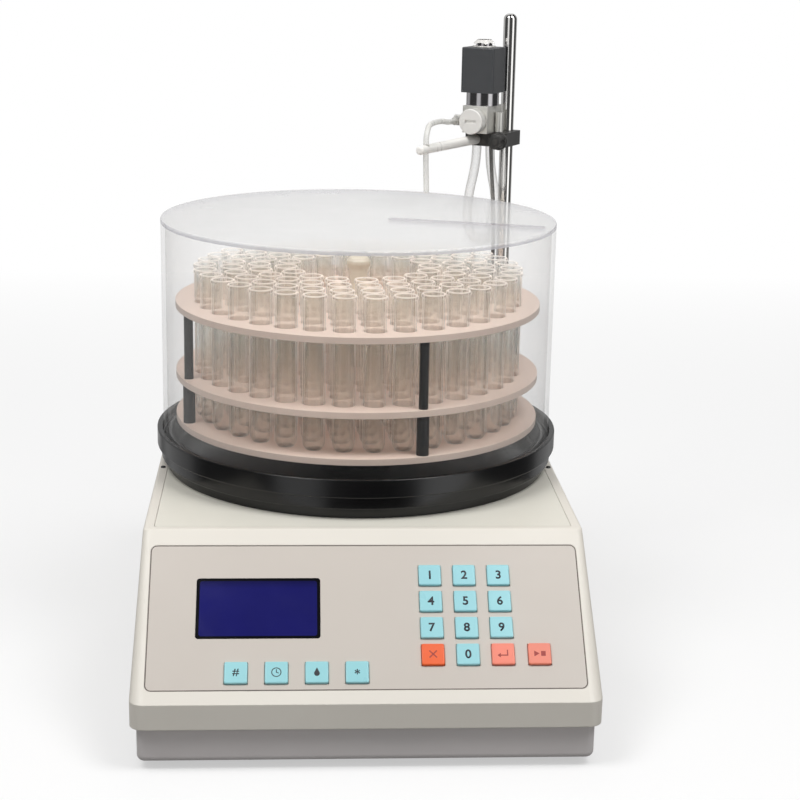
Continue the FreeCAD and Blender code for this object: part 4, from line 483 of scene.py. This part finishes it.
def from_bmesh(name, bm):
    bmesh.ops.remove_doubles(bm, verts=bm.verts, dist=1e-5)
    bmesh.ops.recalc_face_normals(bm, faces=bm.faces)
    mesh = bpy.data.meshes.new(name)
    bm.to_mesh(mesh)
    bm.free()
    return shown(name, mesh)


def as_mesh(item):
    """The mesh of a curve, a text or a piece with modifiers."""
    graph = bpy.context.evaluated_depsgraph_get()
    return bpy.data.meshes.new_from_object(item.evaluated_get(graph), depsgraph=graph)


def worked_in(item):
    """Gives the piece the mesh that its modifiers make, and takes the modifiers off."""
    mesh = as_mesh(item)
    item.modifiers.clear()
    item.data = mesh
    return item


def turned(name, outline, steps=64, closed=False):
    """A turned piece from (radius, height) points."""
    bm = bmesh.new()
    spots = [bm.verts.new((radius, 0, height)) for radius, height in outline]
    edges = [bm.edges.new(pair) for pair in zip(spots, spots[1:])]
    if closed:
        edges.append(bm.edges.new((spots[-1], spots[0])))
    bmesh.ops.spin(bm, geom=spots + edges, cent=(0, 0, 0), axis=(0, 0, 1), angle=2 * math.pi, steps=steps)
    return from_bmesh(name, bm)


def slab(name, outlines, low, high):
    """Flat plates of the given (x, y) outlines, from low to high."""
    bm = bmesh.new()
    for outline in outlines:
        face = bm.faces.new([bm.verts.new((x, y, low)) for x, y in outline])
        grown = bmesh.ops.extrude_face_region(bm, geom=[face])["geom"]
        for vert in (g for g in grown if isinstance(g, bmesh.types.BMVert)):
            vert.co.z = high
    return from_bmesh(name, bm)


def soften(item, width, segments=3, angle=30):
    """Rounds the edges by width mm and smooths the surface between them."""
    item.data.shade_smooth()
    bevel = item.modifiers.new("edges", "BEVEL")
    bevel.width = width
    bevel.segments = segments
    bevel.limit_method = "ANGLE"
    bevel.angle_limit = math.radians(angle)
    bevel.harden_normals = True
    return worked_in(item)


def less(item, tool, operation="DIFFERENCE"):
    """Cuts tool out of the piece, or with INTERSECT keeps what lies in both."""
    cut = item.modifiers.new("cut", "BOOLEAN")
    cut.object = tool
    cut.operation = operation
    cut.solver = "EXACT"
    worked_in(item)
    bpy.data.objects.remove(tool)
    return item


def merged(name, *items):
    """One mesh from several."""
    bm = bmesh.new()
    for item in items:
        bm.from_mesh(item.data)
        bpy.data.objects.remove(item)
    mesh = bpy.data.meshes.new(name)
    bm.to_mesh(mesh)
    bm.free()
    mesh.shade_smooth()
    mesh.set_sharp_from_angle(angle=math.radians(32))
    return shown(name, mesh)


def ready(item, where, paint, body, slot, *nodes):
    """Puts the piece in place, paints it, and hangs it on its body."""
    item.data.transform(MILLIMETRES @ where)
    item.data.materials.clear()
    item.data.materials.append(PAINT[paint])
    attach(item, body)
    if nodes:
        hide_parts(*nodes)


# ---- geometry trees: rings of tubes and ribs, and screws on their spots ----

def copies_at(tree, points, piece, rotation):
    copies = add(tree, "GeometryNodeInstanceOnPoints",
                 {"Points": points, "Instance": piece, "Rotation": rotation}).outputs[0]
    solid = add(tree, "GeometryNodeRealizeInstances", {0: copies}).outputs[0]
    return add(tree, "GeometryNodeSetMaterial", {"Geometry": solid}).outputs[0]


def ring_tree():
    """Copies of the given piece on a circle, each turned to face outwards."""
    tree, given, out = new_group("ring of pieces", "GeometryNodeTree",
                                 [("Piece", GEOMETRY), ("Count", "NodeSocketInt", 12),
                                  ("Radius", FLOAT, 10.0), ("First Angle", FLOAT, 0.0)],
                                 [("Ring", GEOMETRY)])
    circle = add(tree, "GeometryNodeMeshCircle", {"Vertices": given["Count"], "Radius": given["Radius"]})
    turn = add(tree, "ShaderNodeCombineXYZ", {2: given["First Angle"]}).outputs[0]
    circle = add(tree, "GeometryNodeTransform",
                 {"Geometry": circle.outputs[0], "Rotation": turn}).outputs[0]
    spot = add(tree, "ShaderNodeSeparateXYZ",
               {0: add(tree, "GeometryNodeInputPosition").outputs[0]}).outputs
    angle = sums(tree, "ARCTAN2", spot["Y"], spot["X"])
    outwards = add(tree, "ShaderNodeCombineXYZ", {2: angle}).outputs[0]
    tree.links.new(copies_at(tree, circle, given["Piece"], outwards), out["Ring"])
    return tree


def corners_tree():
    """Copies of the given piece on the four corners of a level rectangle, turned over by Over."""
    tree, given, out = new_group("pieces at corners", "GeometryNodeTree",
                                 [("Piece", GEOMETRY), ("Span X", FLOAT, 1.0), ("Span Y", FLOAT, 1.0),
                                  ("Shift Y", FLOAT, 0.0), ("Height", FLOAT, 0.0), ("Over", FLOAT, 0.0)],
                                 [("Set", GEOMETRY)])
    grid = add(tree, "GeometryNodeMeshGrid", {"Size X": given["Span X"], "Size Y": given["Span Y"],
                                              "Vertices X": 2, "Vertices Y": 2}).outputs[0]
    shift = add(tree, "ShaderNodeCombineXYZ", {1: given["Shift Y"], 2: given["Height"]}).outputs[0]
    spots = add(tree, "GeometryNodeTransform", {"Geometry": grid, "Translation": shift}).outputs[0]
    over = add(tree, "ShaderNodeCombineXYZ", {0: given["Over"]}).outputs[0]
    tree.links.new(copies_at(tree, spots, given["Piece"], over), out["Set"])
    return tree


RING = ring_tree()
CORNERS = corners_tree()


def repeated(item, tree, **inputs):
    """Runs a geometry tree on the piece. Inputs are named with _ for a space."""
    modifier = item.modifiers.new("repeat", "NODES")
    modifier.node_group = tree
    sockets = {s.name: s.identifier for s in tree.interface.items_tree if s.in_out == "INPUT"}
    for key, number in inputs.items():
        modifier[sockets[key.replace("_", " ")]] = number
    return worked_in(item)


# ---- camera, light and floor ----

def camera():
    """Looks down on the front from a little to the left."""
    yaw, pitch, roll = math.radians(3.66), math.radians(-14.84), math.radians(1.12)
    ahead = Vector((math.sin(yaw) * math.cos(pitch), math.cos(yaw) * math.cos(pitch), math.sin(pitch)))
    right = Vector((math.cos(yaw), -math.sin(yaw), 0))
    up = right.cross(ahead)
    across = math.cos(roll) * right + math.sin(roll) * up
    upwards = math.cos(roll) * up - math.sin(roll) * right
    turn = Matrix((across, upwards, -ahead)).transposed().to_4x4()
    lens = bpy.data.cameras.new("camera")
    lens.lens = 79.08
    lens.sensor_width = 36.0
    lens.clip_start = 0.05
    lens.clip_end = 50.0
    item = shown("camera", lens)
    item.matrix_world = Matrix.Translation((-0.04635, -1.16555, 0.48813)) @ turn
    SCENE.camera = item


def softbox(name, where, aim, size, power):
    light = bpy.data.lights.new(name, "AREA")
    light.shape = "RECTANGLE"
    light.size, light.size_y = size
    light.energy = power
    item = shown(name, light)
    item.location = where
    item.rotation_euler = (Vector(aim) - Vector(where)).to_track_quat("-Z", "Y").to_euler()


def seen_directly(tree, rays):
    """1 for what the camera sees, straight or through glass."""
    through = sums(tree, "MINIMUM", rays["Transmission Depth"], 1.0)
    return sums(tree, "MAXIMUM", rays["Is Camera Ray"], through)


def surroundings():
    """White where the camera sees it; reflections see white screens with dark gaps between them."""
    world = bpy.data.worlds.new("studio")
    SCENE.world = world
    world.use_nodes = True
    tree = world.node_tree
    rays = add(tree, "ShaderNodeLightPath").outputs
    direction = add(tree, "ShaderNodeTexCoord").outputs["Generated"]
    towards = add(tree, "ShaderNodeSeparateXYZ", {0: direction}).outputs
    around = sums(tree, "ARCTAN2", towards["X"], sums(tree, "MULTIPLY", towards["Y"], -1.0))
    screens = GAP_BETWEEN_SCREENS
    for middle, half, level in SCREENS:
        apart = sums(tree, "ABSOLUTE", sums(tree, "SUBTRACT", around, math.radians(middle)))
        soft = stretched(tree, apart, math.radians(half * 0.75), math.radians(half * 1.2), level, 0.0)
        screens = sums(tree, "ADD", screens, soft)
    # the screens fade out well above and well below the horizon
    low = stretched(tree, sums(tree, "ABSOLUTE", towards["Z"]), 0.5, 0.8, 1.0, 0.12)
    mirrored = sums(tree, "MULTIPLY", screens, low)
    ambient = stretched(tree, towards["Z"], -0.1, 0.9, 0.3, 0.34)
    unseen = add(tree, "ShaderNodeMix", {0: rays["Is Glossy Ray"], 2: ambient, 3: mirrored}).outputs[0]
    strength = sums(tree, "MAXIMUM", unseen, seen_directly(tree, rays))
    feed(tree, tree.nodes["Background"], {"Color": colour(1, 1, 1), "Strength": strength})


def floor_paint():
    """White to the camera, grey to the light that bounces off it, and not there for reflections."""
    material, tree, shader, output = blank("pale floor")
    rays = add(tree, "ShaderNodeLightPath").outputs
    place = object_place(tree)
    pale = mixed(tree, noise(tree, place, 3.0, 4.0), colour(0.96, 0.96, 0.96), colour(0.94, 0.94, 0.94))
    seen = seen_directly(tree, rays)
    feed(tree, shader, {"Base Color": mixed(tree, seen, colour(0.3, 0.3, 0.3), pale), "Roughness": 0.8,
                        "Specular IOR Level": 0.1})
    depth = add(tree, "ShaderNodeSeparateXYZ", {0: place}).outputs["Y"]
    share = sums(tree, "MULTIPLY", seen, stretched(tree, depth, 0.0, 1.4, 0.5, 1.0))
    white = add(tree, "ShaderNodeEmission", {0: colour(1.0, 1.0, 1.0), 1: 1.0}).outputs[0]
    lit = add(tree, "ShaderNodeMixShader", {0: share, 1: shader.outputs[0], 2: white}).outputs[0]
    gone = add(tree, "ShaderNodeBsdfTransparent").outputs[0]
    mirrored = sums(tree, "MULTIPLY", rays["Is Glossy Ray"], sums(tree, "SUBTRACT", 1.0, seen))
    both = add(tree, "ShaderNodeMixShader", {0: mirrored, 1: lit, 2: gone}).outputs[0]
    tree.links.new(both, output.inputs["Surface"])
    return material


def studio_floor():
    """A level floor that curves up behind the object, in (y, z) points of its section."""
    level_end, bend, top = 1.8, 1.2, 4.0
    line = [(-3.5, 0.0), (level_end, 0.0)]
    for n in range(1, 11):
        a = math.radians(9 * n)
        line.append((level_end + math.sin(a) * bend, bend - math.cos(a) * bend))
    line.append((level_end + bend, top))
    bm = bmesh.new()
    rows = [[bm.verts.new((x, y, z)) for x in (-4.0, 4.0)] for y, z in line]
    for low, high in zip(rows, rows[1:]):
        bm.faces.new((low[0], low[1], high[1], high[0]))
    floor = from_bmesh("studio_floor", bm)
    floor.data.shade_smooth()
    floor.data.materials.append(floor_paint())


camera()
surroundings()
softbox("left softbox", (-0.65, -0.5, 1.5), (0.0, 0.05, 0.15), (0.6, 0.8), 11.4)
softbox("right softbox", (0.65, -0.5, 1.5), (0.0, 0.05, 0.15), (0.6, 0.8), 11.4)
softbox("rear softbox", (0.0, 1.0, 1.5), (0.0, 0.1, 0.2), (1.2, 0.4), 2.2)
studio_floor()
SCENE.view_settings.view_transform = "Standard"
SCENE.cycles.max_bounces = 40
SCENE.cycles.transmission_bounces = 40
SCENE.cycles.transparent_max_bounces = 64
SCENE.cycles.diffuse_bounces = 4
SCENE.cycles.glossy_bounces = 6
SCENE.cycles.caustics_reflective = False
SCENE.cycles.caustics_refractive = False
SCENE.cycles.sample_clamp_indirect = 6.0


# ---- flexible tubes and the valve's cable ----

def at_head(point):
    """A point of the head's space, in mm, to the scene's metres."""
    return tuple(MILLIMETRES @ HEAD @ Vector(point))


def route(name, points):
    """A smooth line along points of the head's space."""
    curve = bpy.data.curves.new(name, "CURVE")
    curve.dimensions = "3D"
    spline = curve.splines.new("NURBS")
    spline.points.add(len(points) - 1)
    for spot, point in zip(spline.points, points):
        spot.co = (*at_head(point), 1.0)
    spline.order_u = 3
    spline.use_endpoint_u = True
    spline.resolution_u = 16
    return curve


def hose(name, points, diameter, paint, body):
    curve = route(name, points)
    curve.bevel_depth = diameter / 2
    curve.bevel_resolution = 8
    curve.use_fill_caps = True
    item = shown(name, curve)
    curve.materials.append(PAINT[paint])
    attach(item, body)
    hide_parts(name.replace("_line", ""))


# where the lines run, in the head's space
DROP_ROUTE = [
    (-30, -30, 18), (-30, -41, 18), (-29.2, -52, 19.8), (-27.9, -63, 20.6), (-26.2, -73, 20.9),
    (-24.4, -81.5, 21.0), (-22.8, -88.5, 20.9), (-21.5, -94, 20.2), (-20.4, -98.8, 16.7),
    (-19.85, -101.5, 11.4), (-19.77, -101.4, 0), (-19.5, -101.1, -11.5), (-19.2, -100.8, -20.5),
    (-19.1, -100.7, -26.5)]
HOSE_ROUTE = [
    (-10.1, -7.5, 4), (-10.1, -7.5, -9), (-7.9, -7.7, -23), (-4.7, -7.9, -35.6), (-3.4, -8.0, -50),
    (-3.9, -7.9, -65.9), (-10.6, -7.7, -73.3), (-20.4, -7.4, -73.1), (-27.2, -7.2, -65.6),
    (-27.7, -7.1, -50), (-26.0, -7.2, -35.8), (-22.9, -7.4, -23), (-20.9, -7.5, -9), (-20.9, -7.5, 4)]
CABLE_ROUTE = [
    (-18, -7.5, 48), (-18, 1.3, 48), (-17.7, 7.6, 40.6), (-17.2, 8.6, 26), (-16.6, 8.4, 6),
    (-15.2, 8.2, -18), (-13.0, 8.8, -44), (-11.8, 9.6, -72), (-12.4, 9.6, -100), (-14.4, 9.0, -128),
    (-14.8, 8.6, -154), (-13.6, 8.8, -176), (-13.0, 9.0, -192), (-13, 9, -200.1)]
CABLE_DIAMETER = 0.003

hose("drop_tube_line", DROP_ROUTE, 0.004, "drip", "head")
hose("hose_loop_line", HOSE_ROUTE, 0.007, "silicone", "head")


def valve_cable():
    """The cable from the coil down to the turret."""
    line = shown("cable_line", route("cable_line", CABLE_ROUTE))
    spots = [tuple(v.co) for v in as_mesh(line).vertices]
    line.data.bevel_depth = CABLE_DIAMETER / 2
    line.data.bevel_resolution = 6
    line.data.use_fill_caps = True
    mesh = as_mesh(line)
    bpy.data.objects.remove(line)
    mesh.shade_smooth()
    mesh.materials.clear()
    mesh.materials.append(PAINT["cable"])
    item = shown("valve_cable_line", mesh)
    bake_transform(item)
    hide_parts("valve_cable")


valve_cable()


# ---- dish, tubes and rack ----

dish = turned("dish", [
    (130.0, 0), (133.6, 0), (133.6, 7.0), (137.6, 7.0), (137.6, 15.4), (140.5, 15.4), (140.5, 27.7),
    (136.6, 27.7), (136.6, 21.9), (132.8, 21.9), (132.8, 24.9), (130.5, 24.9), (128.0, 11.4), (126.0, 9.4),
    (25.0, 9.4), (25.0, 24.4), (22.0, 24.4), (22.0, 6.4), (130.0, 6.4)], steps=128, closed=True)
ready(soften(dish, 0.8), TABLE, "dish", "case", "dish", "drip_tray")


def test_tubes():
    """Round-bottomed tubes with rolled rims, in four rings."""
    quarter = [math.radians(15 * n) for n in range(7)]
    outside, inside = [[(radius * math.sin(a), TUBE_RADIUS - radius * math.cos(a)) for a in quarter]
                       for radius in (TUBE_RADIUS, TUBE_BORE)]
    rim = [(TUBE_RADIUS, 102.2), (8.05, 102.6), (8.3, 103.3), (8.2, 104.3), (7.7, TUBE_LENGTH),
           (7.0, TUBE_LENGTH), (TUBE_BORE, 104.3)]
    rings = []
    for count, reach in TUBE_RINGS:
        tube = turned("tube", outside + rim + inside[::-1], steps=24)
        rings.append(repeated(tube, RING, Count=count, Radius=reach, First_Angle=FIRST_TUBE))
    tubes = merged("tubes", *rings)
    tubes.data.shade_smooth()
    ready(tubes, TABLE @ Matrix.Translation((0, 0, TUBE_FOOT)), "glass", "rack", "tube", "test_tubes")


test_tubes()


# ---- screws of the case ----

def pan_head(name):
    """A small screw with a cross slot; its head starts at z 0."""
    head = turned(name, [(0, -7.0), (1.0, -7.0), (1.0, 0), (1.7, 0), (1.7, 0.45), (1.5, 0.8),
                         (1.1, 1.05), (0.6, 1.18), (0, 1.2)], steps=24)
    arm, half = 1.0, 0.18
    quarter = [(arm, -half), (arm, half), (half, half)]
    outline = [(a * x - b * y, a * y + b * x) for x, y in ((1, 0), (0, 1), (-1, 0), (0, -1))
               for a, b in quarter]
    return less(head, slab("cross", [outline], 0.65, 2.0))


def case_screws():
    """Four screws beside the deck plate, and four under the base, turned over."""
    on_deck = repeated(pan_head("deck_screws"), CORNERS, Span_X=2 * 135.6, Span_Y=132.0, Shift_Y=84.0,
                       Height=TABLE.translation.z)
    below = repeated(pan_head("base_screws"), CORNERS, Span_X=2 * 129.75, Span_Y=2 * 187.25, Height=5.0,
                     Over=math.pi)
    ready(merged("screws", on_deck, below), HERE, "screw", "case", "screw", "case_screws")


case_screws()


# ---- key legends and the panel's dark edge line, partly painted shade ----

# print on the keys, and the keys' places on the panel, in its u and v
LEGEND_LOW, LEGEND_HIGH = 1.68, 1.74
COLUMNS = [61.4 + n * 21.4 for n in (-1, 0, 1)]
ROWS = [31.4 + n * 17.8 for n in range(4)]
SOFT_KEYS = [-79.1 + n * 24.3 for n in range(4)]
SOFT_ROW, START_STOP = 20.2, 105.1


def letter(name, text, height, weight):
    """A printed sign of the given height, its middle at the origin."""
    curve = bpy.data.curves.new(name, "FONT")
    curve.body = text
    curve.size = 8.0
    curve.offset = weight
    item = shown(name, curve)
    mesh = as_mesh(item)
    bpy.data.objects.remove(item)
    bm = bmesh.new()
    bm.from_mesh(mesh)
    bmesh.ops.remove_doubles(bm, verts=bm.verts, dist=1e-4)
    grown = bmesh.ops.extrude_face_region(bm, geom=bm.faces[:])["geom"]
    for vert in (g for g in grown if isinstance(g, bmesh.types.BMVert)):
        vert.co.z = LEGEND_HIGH - LEGEND_LOW
    xs, ys = [v.co.x for v in bm.verts], [v.co.y for v in bm.verts]
    scale = height / (max(ys) - min(ys))
    middle = Vector(((max(xs) + min(xs)) / 2, (max(ys) + min(ys)) / 2, 0))
    for vert in bm.verts:
        vert.co = Vector(((vert.co.x - middle.x) * scale, (vert.co.y - middle.y) * scale,
                          vert.co.z + LEGEND_LOW))
    return from_bmesh(name, bm)


def ring_outline(radius, thick, count=28):
    """Quads that make a ring."""
    angles = [math.radians(360.0 * n / count) for n in range(count + 1)]
    quads = []
    for a, b in zip(angles, angles[1:]):
        quads.append([(reach * math.cos(t), reach * math.sin(t))
                      for reach, t in ((radius, a), (radius + thick, a), (radius + thick, b), (radius, b))])
    return quads


def bar(x1, y1, x2, y2, thick):
    """A straight stroke between two points."""
    along = Vector((x2 - x1, y2 - y1)).normalized() * thick / 2
    side = Vector((-along.y, along.x))
    return [(x1 - along.x - side.x, y1 - along.y - side.y), (x2 + along.x - side.x, y2 + along.y - side.y),
            (x2 + along.x + side.x, y2 + along.y + side.y), (x1 - along.x + side.x, y1 - along.y + side.y)]


def drop_outline():
    """A falling drop."""
    low = [(1.7 * math.cos(math.radians(a)), -0.9 + 1.7 * math.sin(math.radians(a)))
           for a in range(150, 391, 15)]
    return low + [(0.0, 3.0)]


SIGNS = {
    "key_set_time": (ring_outline(2.5, 0.55) + [bar(0, 0, 0, 1.7, 0.5), bar(0, 0, 1.2, -0.5, 0.5)], "ink"),
    "key_set_drop": ([drop_outline()], "ink"),
    "key_clear": ([bar(-2.0, -2.0, 2.0, 2.0, 0.75), bar(-2.0, 2.0, -0.4, 0.4, 0.75),
                   bar(0.4, -0.4, 2.0, -2.0, 0.75)], "red_ink"),
    "key_enter": ([bar(-2.0, -1.0, 2.6, -1.0, 0.7), bar(2.6, -1.0, 2.6, 2.2, 0.7),
                   [(-3.6, -1.0), (-1.6, -2.5), (-1.6, 0.5)]], "red_ink"),
    "key_start_stop": ([[(-3.4, -1.9), (-0.2, 0.0), (-3.4, 1.9)],
                        [(0.8, -1.6), (3.6, -1.6), (3.6, 1.6), (0.8, 1.6)]], "red_ink"),
}
PLACES = {
    **{key: (across, SOFT_ROW) for key, across in
       zip(("key_hash", "key_set_time", "key_set_drop", "key_star"), SOFT_KEYS)},
    **{key: (across, ROWS[0]) for key, across in
       zip(("key_clear", "key_0", "key_enter", "key_start_stop"), (*COLUMNS, START_STOP))},
    **{f"key_{3 * (3 - row) + column + 1}": (COLUMNS[column], ROWS[row])
       for row in (1, 2, 3) for column in range(3)},
}


def key_legends():
    """Prints a digit or a sign on every key."""
    signs = [(f"key_{digit}", digit, 5.8, 0.2) for digit in "0123456789"]
    signs += [("key_hash", "#", 4.8, 0.1), ("key_star", "*", 3.6, 0.14)]
    for key, text, height, weight in signs:
        sign = letter("sign_" + key, text, height, weight)
        ready(sign, PANEL @ Matrix.Translation((*PLACES[key], 0)), "ink", key, "key_blue")
    for key, (outlines, paint) in SIGNS.items():
        sign = slab("sign_" + key, outlines, LEGEND_LOW, LEGEND_HIGH)
        slot = {"key_coral": "key_red"}.get(NODE_PAINT[key], NODE_PAINT[key])
        ready(sign, PANEL @ Matrix.Translation((*PLACES[key], 0)), paint, key, slot)


key_legends()


def panel_edge_shade_line():
    """The thin dark line around the key panel: partly print, partly painted shade of the gap around the
    panel.
    """
    def loop(inset, height):
        half_x, low, high, radius = 133.3 - inset, 9.0 + inset, 106.4 - inset, 4.0 - inset
        spots = []
        for x, y, start in ((half_x - radius, low + radius, -90), (half_x - radius, high - radius, 0),
                            (radius - half_x, high - radius, 90), (radius - half_x, low + radius, 180)):
            for n in range(9):
                a = math.radians(start + 11.25 * n)
                spots.append((x + radius * math.cos(a), y + radius * math.sin(a), height))
        return spots

    bm = bmesh.new()
    loops = [[bm.verts.new(p) for p in loop(inset, height)]
             for inset, height in ((0.05, -0.2), (0.05, 0.03), (0.6, 0.03), (0.6, -0.2))]
    for first, second in zip(loops, loops[1:] + loops[:1]):
        for n in range(len(first)):
            m = (n + 1) % len(first)
            bm.faces.new((first[n], first[m], second[m], second[n]))
    ready(from_bmesh("panel_shade_line", bm), PANEL, "line", "case", "panel")


panel_edge_shade_line()


# ---- thumb screw, flow knob, coil nut and rocker marks ----

def knurled(name, radius, length, ribs, rib, edge):
    """A flat-faced knob along +Z from 0 to length: a core with ribs around it."""
    core_radius = radius - rib
    core = turned(name + "_core", [
        (0, 0), (core_radius - edge, 0), (core_radius, edge), (core_radius, length - edge),
        (core_radius - edge, length), (0, length)], steps=72)
    wide = math.pi * radius / ribs * 0.62
    ridge = slab(name + "_rib", [[(core_radius - 0.3, -wide), (radius - rib * 0.35, -wide * 0.45),
                                  (radius, 0), (radius - rib * 0.35, wide * 0.45),
                                  (core_radius - 0.3, wide)]], edge, length - edge)
    ring = repeated(ridge, RING, Count=ribs, Radius=0.0001, First_Angle=0.0)
    return core, ring


def clamp_screw():
    """Black thumb screw that holds the head on the rod: a disc with a lobed grip before it.
    Five round hollows are cut from the grip, their middles a little outside it."""
    grip_radius, hollow_place, hollow_radius = 5.8, 7.25, 2.32
    grip_outline = []
    for n in range(150):
        angle = 2.4 * n
        off = math.radians((angle + 36) % 72 - 36)
        reach, beside = grip_radius, hollow_place * math.sin(off)
        if abs(beside) < hollow_radius:
            reach = min(reach, hollow_place * math.cos(off) - math.sqrt(hollow_radius ** 2 - beside ** 2))
        grip_outline.append((reach * math.cos(math.radians(angle)), reach * math.sin(math.radians(angle))))
    grip = soften(slab("clamp_grip", [grip_outline], 2.0, 9.0), 0.7, 4, 50)
    disc = turned("clamp_disc", [(0, 0), (6.4, 0), (6.7, 0.12), (6.8, 0.45), (6.8, 2.05), (6.7, 2.38),
                                 (6.4, 2.5), (0, 2.5)], steps=72)
    cap = turned("clamp_cap", [(0, 8.0), (3.3, 8.0), (3.4, 8.6), (3.1, 9.0), (2.6, 9.0), (2.3, 8.7),
                               (0, 8.7)], steps=48)
    shank = turned("clamp_shank", [(0, -16.9), (2.1, -16.9), (2.5, -16.4), (2.5, 0.5), (0, 0.5)], steps=36)
    knob = merged("clamp_knob", grip, disc, cap, shank)
    where = HEAD @ Matrix.Translation((3.6, -22.0, 4.8)) @ FACING_FRONT
    ready(knob, where, "black", "clamp_screw", "black", "clamp_screw")


def flow_knob():
    """Knurled steel knob with a slot across its face."""
    core, ribs = knurled("flow", 9.5, 8.0, 60, 0.35, 0.35)
    less(core, slab("flow_slot", [[(-4.4, -1.2), (4.4, -1.2), (4.4, 1.2), (-4.4, 1.2)]], 7.0, 9.0))
    stem = turned("flow_stem", [(0, -6.3), (4.0, -6.3), (4.0, 0.5), (0, 0.5)], steps=36)
    knob = merged("flow_knob_turned", core, ribs, stem)
    where = HEAD @ Matrix.Translation((-12.0, -33.8, 19.6)) @ FACING_FRONT
    ready(knob, where, "nickel", "flow_knob", "steel", "flow_knob")


def coil_nut():
    """Chamfered hexagon nut on a washer, on top of the coil."""
    hexagon = [(8.66 * math.cos(a), 8.66 * math.sin(a)) for a in [math.radians(60 * n) for n in range(6)]]
    nut = slab("nut_hexagon", [hexagon], 0.9, 5.5)
    cone = turned("nut_cone", [(0, 0.5), (9.2, 0.5), (9.2, 1.6), (5.3, 5.5), (0, 5.5)], steps=72)
    less(nut, cone, "INTERSECT")
    washer = turned("nut_washer", [(6.05, 0), (8.5, 0), (8.65, 0.15), (8.65, 0.8), (8.5, 0.95),
                                   (6.05, 0.95)], closed=True)
    where = HEAD @ Matrix.Translation((-12.0, -20.0, 73.0))
    ready(merged("coil_nut_turned", nut, washer), where, "nickel", "head", "steel", "coil_nut")


def rocker_marks():
    """The printed line and ring on the two ends of the power switch."""
    ring = [[(x, y - 5.0) for x, y in quad] for quad in ring_outline(1.5, 0.55)]
    marks = slab("rocker_marks", ring + [bar(0, 3.6, 0, 6.4, 0.6)], 2.08, 2.14)
    where = Matrix.Translation((-64, 196.5, 82)) @ Matrix.Rotation(math.radians(7), 4, "X") @ FACING_REAR
    ready(marks, where, "white_ink", "power_rocker", "inlet")


clamp_screw()
flow_knob()
coil_nut()
rocker_marks()
